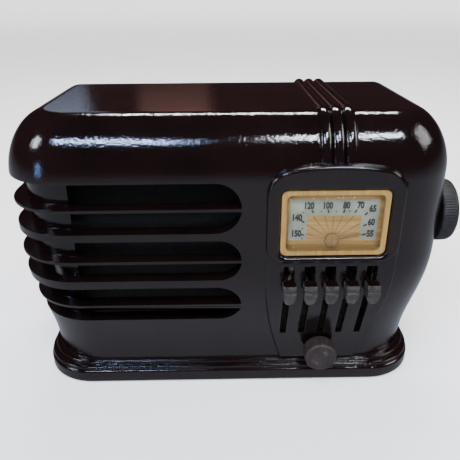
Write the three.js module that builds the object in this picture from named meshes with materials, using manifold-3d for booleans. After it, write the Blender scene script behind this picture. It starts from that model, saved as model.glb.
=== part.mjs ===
// Tabletop radio with a one-piece moulded cabinet, five tuning levers and a side tuning knob.
// Millimetres, +Z up, front facing -Y. The design frame has x = 0 on the cabinet's centre line,
// y = 0 on the front face at the dial and z = 0 on the table; the finished group is then moved
// so that its origin is the bottom centre of its bounding box.
import * as THREE from 'three';
import { mergeVertices } from 'three/addons/utils/BufferGeometryUtils.js';
import Module from 'manifold-3d';

const wasm = await Module();
wasm.setup();

// ---- driving dimensions ----
const HALF_WIDTH = 155;       // cabinet half width at the shoulders
const TOP = 219;              // height of the flat top
const BACK = 140;             // y of the cabinet's back edge
const SHOULDER_Z = TOP - 42;  // where the bullnose starts
const BULLNOSE = 28;          // how far the bullnose runs back over the front
const SHOULDER = 30;          // how far it runs in over the sides
const BULLNOSE_POWER = 1.8;   // 2 is an ellipse
const CORNER = 45;            // plan radius of the front corners
const TUCK_Z = 118;           // below this height the face tucks back
const FRONT_TUCK = 24.5;
const SIDE_TUCK = 6.5;
const WAIST_Z = 19;           // top of the plinth mouldings
const PLINTH = { half: HALF_WIDTH - 1, front: 17.5, corner: 40, bottom: 1.5 };
const WALL = 4;
const FLOOR = { under: 5, top: 9 };
const GAP = 0.3;              // clearance between touching pieces
const CORNER_STEPS = 8;       // facets round a front corner; one fewer inside

// each row: how far its bottom, its top and its blade lie below the shoulder
const LOUVRE = {
  rows: [[34.8, -0.4, 18.3], [71.8, 40.8, 56.8], [113, 79.3, 97.4]]
    .map((row) => row.map((drop) => SHOULDER_Z - drop)),
  right: 8, through: 47 - HALF_WIDTH, back: 88, blade: 2.6, floor: 10, block: 12,
};
const CONTROL_X = 70;         // centre line of dial, ribs, levers and volume knob
const RIB = { pitch: 8.2, width: 8, height: 3 };
const WINDOW = { width: 73, height: 48.6, z: SHOULDER_Z - 28, corner: 5 };
const BEZEL = {
  left: CONTROL_X - WINDOW.width / 2 - 9, right: CONTROL_X + WINDOW.width / 2 + 9,
  bottom: WINDOW.z - WINDOW.height / 2 - 4.7, top: WINDOW.z + WINDOW.height / 2 + 10.2,
  crown: 6.5, proud: 4, corner: 13,
};
const SHIELD = { half: 45.2, taper: 15.5, proud: 1.5 };

const LEVER = { count: 5, pitch: 14.5, thickness: 2, capZ: 98, capY: -7, length: 16.5, width: 9.2 };
const SLOT = { width: 4.6, bottom: 47, top: 108, headWidth: 7.2, headTop: 116.5 };
const PIVOT = { y: 82, z: 78, radius: 3 };
const TUNING = {
  y: 55, z: WINDOW.z - 14, radius: 3, end: HALF_WIDTH + 13,
  knob: 24, knobIn: HALF_WIDTH + 2.5, knobOut: HALF_WIDTH + 15.5,
};
const POINTER = { z: WINDOW.z - 14.5, radius: 2, length: 29, start: 13 };
const VOLUME = { z: 32, radius: 3, knob: 12.5, face: 5, rear: 18 };
const SPEAKER = { x: -52, z: SHOULDER_Z - 57, radius: 57 };
const BAFFLE = { left: 41 - HALF_WIDTH, right: 23, bottom: 47, top: SHOULDER_Z + 17 };
const CLOTH_Y = 30;
const CHASSIS = {
  half: HALF_WIDTH - 25, front: 42, back: BACK - 14, bottom: FLOOR.top + GAP, top: 48, sheet: 1.2,
};
const COVER = { y: BACK - 5.5, thickness: 2, bossDepth: 20.5, screwDepth: 11.5 };
const LEVER_FRAME = { left: 34, right: 106, front: 62, back: 94 };
const TUBE_RADIUS = 15;
const TUBE = {
  count: 5, x: -105, pitch: 37, y: LEVER_FRAME.back + 2 + TUBE_RADIUS, radius: TUBE_RADIUS, height: 66,
};
const CAPACITOR = { left: HALF_WIDTH - 47, right: HALF_WIDTH - 23, front: 46, back: 82 };

// ---- geometry helpers ----
const DEG = Math.PI / 180;
const rad = (degrees) => degrees * DEG;
const clamp01 = (t) => Math.min(1, Math.max(0, t));

function solid(geometry) {
  const bare = geometry.clone();
  bare.deleteAttribute('normal');
  bare.deleteAttribute('uv');
  const merged = mergeVertices(bare, 1e-4);
  return new wasm.Manifold(new wasm.Mesh({
    numProp: 3,
    vertProperties: Float32Array.from(merged.attributes.position.array),
    triVerts: Uint32Array.from(merged.index.array),
  }));
}

// A solid's mesh, with corners closer than a few microns made one.
function geometryOf(manifold) {
  const mesh = manifold.getMesh();
  const raw = new THREE.BufferGeometry();
  raw.setAttribute('position', new THREE.BufferAttribute(Float32Array.from(mesh.vertProperties), 3));
  raw.setIndex(Array.from(mesh.triVerts));
  const geometry = mergeVertices(raw, 4e-3);
  const corners = geometry.index.array;
  const kept = [];
  for (let i = 0; i < corners.length; i += 3) {
    const [a, b, c] = [corners[i], corners[i + 1], corners[i + 2]];
    if (a !== b && b !== c && c !== a) kept.push(a, b, c);
  }
  geometry.setIndex(kept);
  geometry.computeVertexNormals();
  return geometry;
}

// Skin over closed rings of equal point counts, capped at both ends.
function skin(rings) {
  const count = rings[0].length;
  const positions = rings.flat(2);
  const index = [];
  for (let r = 0; r < rings.length - 1; r += 1) {
    for (let i = 0; i < count; i += 1) {
      const a = r * count + i;
      const b = r * count + ((i + 1) % count);
      index.push(a, b, b + count, a, b + count, a + count);
    }
  }
  const last = (rings.length - 1) * count;
  for (let i = 1; i < count - 1; i += 1) {
    index.push(0, i + 1, i, last, last + i, last + i + 1);
  }
  const geometry = new THREE.BufferGeometry();
  geometry.setAttribute('position', new THREE.Float32BufferAttribute(positions, 3));
  geometry.setIndex(index);
  geometry.computeVertexNormals();
  return geometry;
}

const box = (x0, x1, y0, y1, z0, z1) => new THREE.BoxGeometry(x1 - x0, y1 - y0, z1 - z0)
  .translate((x0 + x1) / 2, (y0 + y1) / 2, (z0 + z1) / 2);

// Cylinder between two stations on a line parallel to one axis.
function rod(axis, a, b, radius, from, to, sides = 16) {
  const geometry = new THREE.CylinderGeometry(radius, radius, to - from, sides);
  const middle = (from + to) / 2;
  if (axis === 'x') return geometry.rotateZ(rad(-90)).translate(middle, a, b);
  if (axis === 'y') return geometry.translate(a, middle, b);
  return geometry.rotateX(rad(90)).translate(a, b, middle);
}

// Turned piece whose profile is [radius, station] pairs in order of rising station on the outside.
function turned(axis, a, b, profile, sides = 16) {
  const geometry = new THREE.LatheGeometry(profile.map((p) => new THREE.Vector2(p[0], p[1])), sides);
  if (axis === 'x') return geometry.rotateZ(rad(-90)).translate(0, a, b);
  if (axis === 'y') return geometry.translate(a, 0, b);
  return geometry.rotateX(rad(90)).translate(a, b, 0);
}

// Flat outline in (u, v) extruded along an axis: 'x' takes (y, z), 'y' takes (x, z).
function plate(axis, shape, from, to, curveSegments = 3) {
  const geometry = new THREE.ExtrudeGeometry(shape, {
    depth: to - from, bevelEnabled: false, curveSegments,
  });
  if (axis === 'x') {
    return geometry.applyMatrix4(new THREE.Matrix4().set(
      0, 0, 1, from, 1, 0, 0, 0, 0, 1, 0, 0, 0, 0, 0, 1,
    ));
  }
  return geometry.rotateX(rad(90)).translate(0, to, 0);
}

function roundedRect(x0, x1, z0, z1, r) {
  const shape = new THREE.Shape();
  shape.absarc(x1 - r, z0 + r, r, -Math.PI / 2, 0);
  shape.absarc(x1 - r, z1 - r, r, 0, Math.PI / 2);
  shape.absarc(x0 + r, z1 - r, r, Math.PI / 2, Math.PI);
  shape.absarc(x0 + r, z0 + r, r, Math.PI, Math.PI * 1.5);
  return shape;
}

const polygon = (points) => new THREE.Shape(points.map((p) => new THREE.Vector2(p[0], p[1])));

// ---- cabinet form ----
// 0 above the tuck line, easing to 1 at the waist
function tuck(z) {
  const u = clamp01((TUCK_Z - z) / (TUCK_Z - WAIST_Z));
  return u * u * (3 - 2 * u);
}
const faceY = (z) => FRONT_TUCK * tuck(z);

// Plan outline, counter-clockwise from above, with a flat back and two round front corners.
function outline(half, front, back, corner, z, steps = CORNER_STEPS) {
  const ring = [];
  for (const [side, start] of [[-1, 180], [1, 270]]) {
    for (let i = 0; i <= steps; i += 1) {
      const angle = rad(start + (90 * i) / steps);
      ring.push([
        side * (half - corner) + corner * Math.cos(angle),
        front + corner + corner * Math.sin(angle), z,
      ]);
    }
  }
  ring.push([half, back, z], [-half, back, z]);
  return ring;
}

// Height and inset of a point on the bullnose, t running from 0 at its foot to 1 at the flat top.
function bullnose(t, rise) {
  const power = 2 / BULLNOSE_POWER;
  const angle = rad(90) * t;
  const inset = t === 1 ? 1 : 1 - Math.cos(angle) ** power;
  return { inset, z: SHOULDER_Z + rise * Math.sin(angle) ** power };
}

// Rings of the cabinet's form, shrunk by an inset, from a bottom height to the flat top.
function formRings(inset, bottom, back) {
  const rings = [];
  const ring = (z, k) => rings.push(outline(
    HALF_WIDTH - SIDE_TUCK * tuck(z) - inset - SHOULDER * k,
    faceY(z) + inset + BULLNOSE * k,
    back, Math.max(CORNER - inset - BULLNOSE * k, 4), z, CORNER_STEPS - (inset > 0 ? 1 : 0),
  ));
  const bodySteps = 6;
  for (let i = 0; i < bodySteps; i += 1) ring(bottom + ((TUCK_Z - bottom) * i) / bodySteps, 0);
  ring(TUCK_Z, 0);
  const noseSteps = 6;
  for (let i = 0; i <= noseSteps; i += 1) {
    const nose = bullnose(i / noseSteps, TOP - inset - SHOULDER_Z);
    ring(nose.z, nose.inset);
  }
  return rings;
}

// Plinth: an upright band, then two stepped beads up to the waist; [share of the step in, height].
function plinthRings() {
  const profile = [
    [0, PLINTH.bottom], [0, 11], [0.14, 11.8], [0.14, 13.6], [0.3, 14.9],
    [0.52, 15.4], [0.55, 17], [0.75, 18.4], [1, WAIST_Z],
  ];
  const waistHalf = HALF_WIDTH - SIDE_TUCK;
  return profile.map(([k, z]) => outline(
    PLINTH.half + (waistHalf - PLINTH.half) * k,
    PLINTH.front + (FRONT_TUCK - PLINTH.front) * k,
    BACK, PLINTH.corner + (CORNER - PLINTH.corner) * k, z,
  ));
}

function ribSolid(x) {
  const path = [[BACK - 0.6, TOP, 0, 1]];
  const steps = 7;
  const lowest = 0.14;
  for (let i = steps; i >= 0; i -= 1) {
    const t = lowest + (1 - lowest) * (i / steps);
    const nose = bullnose(t, TOP - SHOULDER_Z);
    const angle = rad(90) * t;
    const slope = new THREE.Vector2(-Math.cos(angle), Math.sin(angle)).normalize();
    path.push([BULLNOSE * nose.inset, nose.z, slope.x, slope.y]);
  }
  const half = RIB.width / 2;
  const arc = 5;
  const rings = path.map(([y, z, ny, nz]) => {
    const ring = [[x - half, y - 2 * ny, z - 2 * nz]];
    for (let i = 0; i <= arc; i += 1) {
      const angle = rad(180 - (180 * i) / arc);
      const lift = RIB.height * Math.sin(angle);
      ring.push([x + half * Math.cos(angle), y + lift * ny, z + lift * nz]);
    }
    ring.push([x + half, y - 2 * ny, z - 2 * nz]);
    return ring;
  });
  return solid(skin(rings.reverse()));
}

function bezelSolid() {
  const { left, right, bottom, top, crown, proud, corner } = BEZEL;
  const sections = [[3, 0], [-proud + 1.6, 0], [-proud + 0.5, 0.6], [-proud, 1.8]];
  const rings = sections.map(([y, inset]) => {
    const r = corner - inset;
    const flat = [];
    for (const [cx, cz, start] of [
      [right - corner, bottom + corner, -90], [right - corner, top - corner, 0],
      [left + corner, top - corner, 90], [left + corner, bottom + corner, 180],
    ]) {
      for (let i = 0; i <= 4; i += 1) {
        const angle = rad(start + 22.5 * i);
        flat.push([cx + r * Math.cos(angle), cz + r * Math.sin(angle)]);
      }
      const crownSteps = 6;
      for (let i = 1; start === 0 && i < crownSteps; i += 1) {
        flat.push([right - corner - ((right - left - 2 * corner) * i) / crownSteps, top - inset]);
      }
    }
    // the top edge rises to a crown in the middle
    return flat.map(([x, z]) => {
      const share = clamp01((z - bottom - 40) / (top - inset - bottom - 40));
      const across = (2 * x - left - right) / (right - left);
      return [x, y, z + crown * share * (1 - across * across)];
    });
  });
  return solid(skin(rings));
}

function shieldSolid() {
  const rings = [];
  const steps = 7;
  const top = WINDOW.z + 1;
  for (let i = 0; i <= steps; i += 1) {
    const z = WAIST_Z + 0.5 + ((top - WAIST_Z - 0.5) * i) / steps;
    const drop = clamp01((TUCK_Z - z) / (TUCK_Z - WAIST_Z));
    const half = SHIELD.half - SHIELD.taper * drop ** 2.2;
    const y = faceY(z);
    rings.push([
      [CONTROL_X - half, y + 2, z], [CONTROL_X - half, y - SHIELD.proud + 0.8, z],
      [CONTROL_X - half + 0.8, y - SHIELD.proud, z], [CONTROL_X + half - 0.8, y - SHIELD.proud, z],
      [CONTROL_X + half, y - SHIELD.proud + 0.8, z], [CONTROL_X + half, y + 2, z],
    ]);
  }
  return solid(skin(rings));
}

// Outline with a round right end, in a plane of depth u and height v.
function roundEnd(u0, u1, v0, v1) {
  const r = (v1 - v0) / 2;
  const shape = new THREE.Shape();
  shape.moveTo(u0, v0);
  shape.lineTo(u1 - r, v0);
  shape.absarc(u1 - r, v0 + r, r, -Math.PI / 2, Math.PI / 2);
  shape.lineTo(u0, v1);
  return shape;
}

// One louvre: a recess that wraps the left front corner, cut through behind the front face,
// with a blade left standing in the middle.
function louvreCutter([bottom, top, blade], core) {
  const { right, through, back, floor, blade: thickness } = LOUVRE;
  const front = solid(plate('y', roundEnd(-200, right, bottom, top), -20, back + 20, 8));
  const side = solid(plate('x', roundEnd(-50, back, bottom, top), -200, 60, 8));
  const recess = front.intersect(side).subtract(core);
  const opening = solid(plate('y', roundEnd(through, right, bottom, top), -20, CLOTH_Y + 12, 8));
  const slab = solid(box(-210, 60, -30, back + 30, blade - thickness / 2, blade + thickness / 2));
  return recess.add(opening).subtract(slab);
}

const leverX = (i) => CONTROL_X + (i - (LEVER.count - 1) / 2) * LEVER.pitch;
const screwX = HALF_WIDTH - 16;
const coverScrews = [[-screwX, 34], [screwX, 34], [-screwX, 150], [screwX, 150]];
// [x, z, y where the stud starts inside the wall]
const studLeft = BAFFLE.left + 11;
const studRight = BAFFLE.right - 7;
const studTop = BAFFLE.top - 6;
const baffleStuds = [
  [studLeft, 53, 20.4], [studRight, 53, 20.4], [studLeft, studTop, 3.7], [studRight, studTop, 3.7],
];
const boltX = CHASSIS.half - 22;
const chassisBolts = [
  [-boltX, CHASSIS.front + 6], [boltX, CHASSIS.front + 6],
  [-boltX, CHASSIS.back - 6], [boltX, CHASSIS.back - 6],
];

function cabinetShell() {
  let shell = solid(skin([...plinthRings().slice(0, -1), ...formRings(0, WAIST_Z, BACK)]));
  const outer = shell;
  shell = shell.subtract(solid(skin(formRings(WALL, FLOOR.top, BACK + 20))));

  // thick wall behind the louvres, which gives the blades their depth
  const { right, floor, block } = LOUVRE;
  const zone = solid(box(-200, right + 4, -50, LOUVRE.back + 6, LOUVRE.rows[2][0] - 4, SHOULDER_Z + 5.3));
  const inner = solid(skin(formRings(block, FLOOR.top, BACK + 20)));
  shell = shell.add(outer.intersect(zone).subtract(inner));
  const core = solid(skin(formRings(floor, FLOOR.top, BACK + 20)));
  for (const row of LOUVRE.rows) shell = shell.subtract(louvreCutter(row, core));

  for (const k of [-1, 0, 1]) shell = shell.add(ribSolid(CONTROL_X + k * RIB.pitch));
  shell = shell.add(shieldSolid()).add(bezelSolid());

  // dial window, lever slots and shaft holes
  const halfWidth = WINDOW.width / 2;
  const halfHeight = WINDOW.height / 2;
  const windowShape = roundedRect(
    CONTROL_X - halfWidth, CONTROL_X + halfWidth,
    WINDOW.z - halfHeight, WINDOW.z + halfHeight, WINDOW.corner,
  );
  const cuts = [plate('y', windowShape, -20, 30)];
  for (let i = 0; i < LEVER.count; i += 1) {
    const x = leverX(i);
    cuts.push(box(x - SLOT.width / 2, x + SLOT.width / 2, -20, 36, SLOT.bottom, SLOT.top));
    const head = SLOT.headWidth / 2;
    cuts.push(box(x - head, x + head, -20, 36, SLOT.top - 1, SLOT.headTop));
  }
  cuts.push(rod('y', CONTROL_X, VOLUME.z, VOLUME.radius + 1.5, -10, 45));
  cuts.push(rod('x', TUNING.y, TUNING.z, TUNING.radius + 1.5, HALF_WIDTH - 20, HALF_WIDTH + 20));
  for (const cut of cuts) shell = shell.subtract(solid(cut));

  // underside recess, bolt holes, back-cover bosses and baffle studs
  const recess = PLINTH.half - 6;
  shell = shell.subtract(solid(skin([
    outline(recess, PLINTH.front + 6, BACK - 6, PLINTH.corner - 6, -5),
    outline(recess, PLINTH.front + 6, BACK - 6, PLINTH.corner - 6, FLOOR.under),
  ])));
  for (const [x, y] of chassisBolts) shell = shell.subtract(solid(rod('z', x, y, 2.5, 0, 20, 8)));
  for (const [x, z] of coverScrews) {
    const out = Math.sign(x) * (HALF_WIDTH - 1);
    const half = 6.5;
    const boss = box(
      Math.min(x - half, out), Math.max(x + half, out),
      COVER.y - COVER.bossDepth, COVER.y - GAP, z - half, z + half,
    );
    shell = shell.add(solid(boss).intersect(outer));
    shell = shell.subtract(solid(rod('y', x, z, 1.8, COVER.y - COVER.screwDepth - 3, BACK, 8)));
  }
  for (const [x, z, start] of baffleStuds) {
    shell = shell.add(solid(rod('y', x, z, 2, start, CLOTH_Y + 12, 8)));
    shell = shell.add(solid(rod('y', x, z, 5, start, CLOTH_Y + 1.1, 10)));
  }
  return geometryOf(shell);
}

function backCover() {
  const edge = WALL + 0.5;
  let cover = solid(skin(formRings(edge, FLOOR.top + 0.5, BACK + 20)));
  cover = cover.intersect(solid(box(-300, 300, COVER.y, COVER.y + COVER.thickness, 0, 400)));
  const rows = [[150, 178], [110, 138], [70, 98]];
  const columns = 9;
  for (const [z0, z1] of rows) {
    for (let i = 0; i < columns; i += 1) {
      const x = (i - (columns - 1) / 2) * 22;
      cover = cover.subtract(solid(box(x - 3, x + 3, COVER.y - 5, COVER.y + 8, z0, z1)));
    }
  }
  for (const [x, z] of coverScrews) {
    cover = cover.subtract(solid(rod('y', x, z, 1.9, COVER.y - 5, COVER.y + 8, 8)));
  }
  cover = cover.subtract(solid(rod('y', -95, 34, 5.2, COVER.y - 5, COVER.y + 8, 12)));
  return geometryOf(cover);
}

// ---- turned and flat pieces ----
const coverFace = COVER.y + COVER.thickness;
const screw = (x, z) => turned('y', x, z, [
  [0, COVER.y - COVER.screwDepth], [1.5, COVER.y - COVER.screwDepth], [1.5, coverFace + GAP],
  [3.4, coverFace + GAP], [3.2, coverFace + 1.4], [1.6, coverFace + 2.2], [0, coverFace + 2.2],
], 8);

const bolt = (x, y) => turned('z', x, y, [
  [0, 2.4], [4, 2.4], [4, FLOOR.under - GAP], [2, FLOOR.under - GAP], [2, 18], [0, 18],
], 8);

const nut = (x, z) => turned('y', x, z, [
  [2.3, CLOTH_Y + 5.9], [4, CLOTH_Y + 5.9], [4, CLOTH_Y + 9], [2.3, CLOTH_Y + 9], [2.3, CLOTH_Y + 5.9],
], 6);

const foot = (x, y) => turned('z', x, y, [
  [0, 0], [8, 0], [9, 1], [9, FLOOR.under - GAP], [0, FLOOR.under - GAP],
], 16);

const grommet = () => turned('y', -95, 34, [
  [3, COVER.y - 1.8], [7.4, COVER.y - 1.8], [7.4, COVER.y - GAP], [4.9, COVER.y - GAP],
  [4.9, coverFace + GAP], [7.4, coverFace + GAP], [6.6, coverFace + 2], [3, coverFace + 2],
  [3, COVER.y - 1.8],
], 12);

const grilleCloth = () => {
  const sheet = solid(box(BAFFLE.left, 11, CLOTH_Y, CLOTH_Y + 1, 62, SHOULDER_Z + 5));
  return geometryOf(sheet);
};

function speakerBaffle() {
  const { left, right, bottom, top } = BAFFLE;
  let board = solid(box(left, right, CLOTH_Y + 1.4, CLOTH_Y + 5.4, bottom, top));
  board = board.subtract(solid(rod('y', SPEAKER.x, SPEAKER.z, SPEAKER.radius - 8, 0, 60, 28)));
  for (const [x, z] of baffleStuds) board = board.subtract(solid(rod('y', x, z, 2.4, 0, 60, 8)));
  return geometryOf(board);
}

const speakerStart = CLOTH_Y + 5.4 + GAP;
const speakerFrame = () => turned('y', SPEAKER.x, SPEAKER.z, [
  [50, speakerStart], [SPEAKER.radius, speakerStart], [SPEAKER.radius, speakerStart + 1.5],
  [52, speakerStart + 1.5], [25, speakerStart + 26], [25, speakerStart + 29],
  [9, speakerStart + 29], [9, speakerStart + 27.4], [23.4, speakerStart + 27.4],
  [23.4, speakerStart + 25], [50, speakerStart + 1], [50, speakerStart],
], 20);

const speakerCone = () => turned('y', SPEAKER.x, SPEAKER.z, [
  [0, speakerStart + 17], [9, speakerStart + 20], [46, speakerStart + 1], [49, speakerStart + 0.2],
  [49, speakerStart + 1.1], [46.4, speakerStart + 2.2], [8, speakerStart + 22],
  [8, speakerStart + 26.5], [0, speakerStart + 26.5],
], 18);

const speakerMagnet = () => turned('y', SPEAKER.x, SPEAKER.z, [
  [0, speakerStart + 29 + GAP], [22, speakerStart + 29 + GAP], [22, speakerStart + 50],
  [18, speakerStart + 53], [0, speakerStart + 53],
], 20);

function chassis() {
  const { half, front, back, bottom, top, sheet } = CHASSIS;
  const lip = 12;
  const section = polygon([
    [front, bottom], [front + lip, bottom], [front + lip, bottom + sheet], [front + sheet, bottom + sheet],
    [front + sheet, top - sheet], [back - sheet, top - sheet], [back - sheet, bottom + sheet],
    [back - lip, bottom + sheet], [back - lip, bottom], [back, bottom], [back, top], [front, top],
  ]);
  let pan = solid(plate('x', section, -half, half));
  for (const [x, y] of chassisBolts) pan = pan.subtract(solid(rod('z', x, y, 2.3, 0, 30, 8)));
  pan = pan.subtract(solid(rod('y', CONTROL_X, VOLUME.z, 5, 20, 60)));
  return geometryOf(pan);
}

function capacitorFrame() {
  const { left: x0, right: x1, front: y0, back: y1 } = CAPACITOR;
  const foot0 = CHASSIS.top + GAP;
  let frame = solid(box(x0, x1, y0, y1, foot0, foot0 + 1.6));
  for (const x of [x0, x1 - 1.6]) frame = frame.add(solid(box(x, x + 1.6, y0, y1, foot0, TUNING.z + 23)));
  frame = frame.subtract(solid(rod('x', TUNING.y, TUNING.z, TUNING.radius + GAP, x0 - 5, x1 + 5)));
  return geometryOf(frame);
}

const PLATES = { count: 5, first: CAPACITOR.left + 3.5, pitch: 4.2, thickness: 1, radius: 19 };

function capacitorRotor() {
  const half = new THREE.Shape();
  half.moveTo(TUNING.y - 3.6, TUNING.z - PLATES.radius);
  half.lineTo(TUNING.y, TUNING.z - PLATES.radius);
  half.absarc(TUNING.y, TUNING.z, PLATES.radius, -Math.PI / 2, Math.PI / 2);
  half.lineTo(TUNING.y - 3.6, TUNING.z + PLATES.radius);
  const hub = TUNING.radius + 2.5;
  let rotor = solid(rod('x', TUNING.y, TUNING.z, hub, CAPACITOR.left + 1.9, CAPACITOR.right - 1.9, 14));
  for (let i = 0; i < PLATES.count; i += 1) {
    const x = PLATES.first + i * PLATES.pitch;
    rotor = rotor.add(solid(plate('x', half, x, x + PLATES.thickness, 8)));
  }
  const [boreStart, boreEnd] = [CAPACITOR.left - 5, CAPACITOR.right + 5];
  rotor = rotor.subtract(solid(rod('x', TUNING.y, TUNING.z, TUNING.radius + GAP, boreStart, boreEnd)));
  return geometryOf(rotor);
}

function capacitorStator() {
  let stator = null;
  for (let i = 0; i < PLATES.count - 1; i += 1) {
    const x = PLATES.first + (i + 0.5) * PLATES.pitch;
    const leaf = solid(box(x, x + PLATES.thickness, TUNING.y + 7.5, 79, TUNING.z - 21, TUNING.z + 21));
    stator = stator ? stator.add(leaf) : leaf;
  }
  for (const low of [TUNING.z - 17, TUNING.z + 9]) {
    stator = stator.add(solid(box(CAPACITOR.left + 3, CAPACITOR.right - 3, 75.4, 78, low, low + 8)));
  }
  return geometryOf(stator);
}

const tuningShaft = () => rod('x', TUNING.y, TUNING.z, TUNING.radius, 74.8, TUNING.end, 14);

const tuningKnob = () => turned('x', TUNING.y, TUNING.z, [
  [TUNING.radius + GAP, TUNING.knobIn], [TUNING.knob - 1.5, TUNING.knobIn],
  [TUNING.knob, TUNING.knobIn + 1.5], [TUNING.knob - 0.4, TUNING.knobOut - 2.5],
  [TUNING.knob - 3, TUNING.knobOut], [0, TUNING.knobOut],
  [0, TUNING.end + GAP], [TUNING.radius + GAP, TUNING.end + GAP],
  [TUNING.radius + GAP, TUNING.knobIn],
], 28);

// A 45-degree bevel pair whose cones meet where the two shafts' axes cross.
const BEVEL = { near: 5, far: 9.6, play: 0.5 };
const tuningBevelGear = () => turned('x', TUNING.y, TUNING.z, [
  [TUNING.radius + GAP, CONTROL_X + BEVEL.near], [BEVEL.near - BEVEL.play, CONTROL_X + BEVEL.near],
  [BEVEL.far - BEVEL.play, CONTROL_X + BEVEL.far], [7, CONTROL_X + BEVEL.far + 2.4],
  [5, CONTROL_X + BEVEL.far + 5], [TUNING.radius + GAP, CONTROL_X + BEVEL.far + 5],
  [TUNING.radius + GAP, CONTROL_X + BEVEL.near],
], 20);

const pointerBevelGear = () => turned('y', CONTROL_X, POINTER.z, [
  [POINTER.radius + GAP, TUNING.y - BEVEL.far - 5], [5, TUNING.y - BEVEL.far - 5],
  [7, TUNING.y - BEVEL.far - 2.4], [BEVEL.far - BEVEL.play - 0.5, TUNING.y - BEVEL.far],
  [BEVEL.near - BEVEL.play - 0.5, TUNING.y - BEVEL.near],
  [POINTER.radius + GAP, TUNING.y - BEVEL.near], [POINTER.radius + GAP, TUNING.y - BEVEL.far - 5],
], 20);

const POINTER_Y = WALL - 1.9;
const pointerShaft = () =>
  rod('y', CONTROL_X, POINTER.z, POINTER.radius, POINTER_Y + 1.2, TUNING.y - BEVEL.near, 12);

function dialPointer() {
  const needle = new THREE.BoxGeometry(POINTER.length, 0.7, 1.2)
    .translate(POINTER.length / 2, 0, 0)
    .rotateY(rad(-POINTER.start))
    .translate(CONTROL_X, POINTER_Y + 0.6, POINTER.z);
  let pointer = solid(needle);
  pointer = pointer.add(solid(rod('y', CONTROL_X, POINTER.z, 5.2, POINTER_Y, POINTER_Y + 1.9, 18)));
  const bore = rod('y', CONTROL_X, POINTER.z, POINTER.radius + GAP, POINTER_Y + 0.9, 10, 12);
  pointer = pointer.subtract(solid(bore));
  return geometryOf(pointer);
}

function dialScale() {
  const half = WINDOW.width / 2 + 5;
  const tall = WINDOW.height / 2 + 5;
  const sheet = roundedRect(CONTROL_X - half, CONTROL_X + half, WINDOW.z - tall, WINDOW.z + tall, 3);
  const board = solid(plate('y', sheet, WALL + 0.4, WALL + 1.6));
  return geometryOf(board.subtract(solid(rod('y', CONTROL_X, POINTER.z, POINTER.radius + GAP, 0, 10, 12))));
}

function dialEscutcheon() {
  const ring = (margin, y0, y1, r) => solid(plate('y', roundedRect(
    CONTROL_X - WINDOW.width / 2 + margin, CONTROL_X + WINDOW.width / 2 - margin,
    WINDOW.z - WINDOW.height / 2 + margin, WINDOW.z + WINDOW.height / 2 - margin, r,
  ), y0, y1));
  const frame = ring(0.5, -1.6, WALL + 0.1, 4.5);
  return geometryOf(frame.subtract(ring(1.3, -0.6, 10, 3.8)).subtract(ring(4.6, -10, 10, 3)));
}

function dialLens() {
  const slab = (margin, y0, y1, r) => solid(plate('y', roundedRect(
    CONTROL_X - WINDOW.width / 2 + margin, CONTROL_X + WINDOW.width / 2 - margin,
    WINDOW.z - WINDOW.height / 2 + margin, WINDOW.z + WINDOW.height / 2 - margin, r,
  ), y0, y1));
  return geometryOf(slab(1.8, -0.3, 0.5, 3.4).add(slab(5, -2.4, 0.2, 2.8)).add(slab(6, -3, 0.2, 2.2)));
}

// ---- levers ----
function leverFrame() {
  const base = CHASSIS.top + GAP;
  const { left: x0, right: x1, front, back } = LEVER_FRAME;
  const side = polygon([
    [front, base], [back, base], [back, base + 14], [PIVOT.y + 6, PIVOT.z + 12], [PIVOT.y - 6, PIVOT.z + 12],
    [front, base + 14],
  ]);
  let frame = solid(box(x0, x1, front, back, base, base + 1.5));
  for (const x of [x0, x1 - 1.5]) frame = frame.add(solid(plate('x', side, x, x + 1.5)));
  return geometryOf(frame.subtract(solid(rod('x', PIVOT.y, PIVOT.z, PIVOT.radius + GAP, 0, 130))));
}

const leverPivotRod = () => rod(
  'x', PIVOT.y, PIVOT.z, PIVOT.radius, LEVER_FRAME.left - 1.5, LEVER_FRAME.right + 1.5, 12,
);

// Flat steel strip from its hub on the pivot rod, through the slot, into the cap.
function leverArm(x) {
  const tipY = LEVER.capY + 1;
  const strip = polygon([
    [PIVOT.y, PIVOT.z - 4.5], [PIVOT.y, PIVOT.z + 4.5], [20, LEVER.capZ + 3],
    [tipY, LEVER.capZ + 3], [tipY, LEVER.capZ - 3], [20, LEVER.capZ - 3.4],
  ]);
  const t = LEVER.thickness / 2;
  let arm = solid(plate('x', strip, x - t, x + t));
  arm = arm.add(solid(rod('x', PIVOT.y, PIVOT.z, 6.5, x - 4, x + 4, 12)));
  return geometryOf(arm.subtract(solid(rod('x', PIVOT.y, PIVOT.z, PIVOT.radius + GAP, x - 9, x + 9, 12))));
}

// Moulded cap: flat-topped, ridged a third of the way down, narrowing to a round tip below.
function leverCap(x) {
  const half = LEVER.width / 2;
  const top = LEVER.capZ + LEVER.length / 2;
  const rows = [      // share of the height from the top, half width, front, rear
    [0, 0.86, -10.2, -2.6], [0.06, 0.98, -11.2, -2.2], [0.38, 1, -12.6, -1.6], [0.5, 1, -11.4, -1.4],
    [0.74, 0.84, -10.2, -1.4], [0.9, 0.58, -9.2, -1.8], [1, 0.26, -8.2, -2.6],
  ];
  const rings = rows.map(([k, w, front, rear]) => {
    const z = top - LEVER.length * k;
    return [
      [x - half * w, rear, z], [x - half * w, front + 0.9, z], [x - half * w * 0.84, front, z],
      [x + half * w * 0.84, front, z], [x + half * w, front + 0.9, z], [x + half * w, rear, z],
    ];
  }).reverse();
  const t = LEVER.thickness / 2 + GAP;
  const socket = box(x - t, x + t, LEVER.capY + 1 - GAP, 10, LEVER.capZ - 3.4, LEVER.capZ + 3 + GAP);
  return geometryOf(solid(skin(rings)).subtract(solid(socket)));
}

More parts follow.
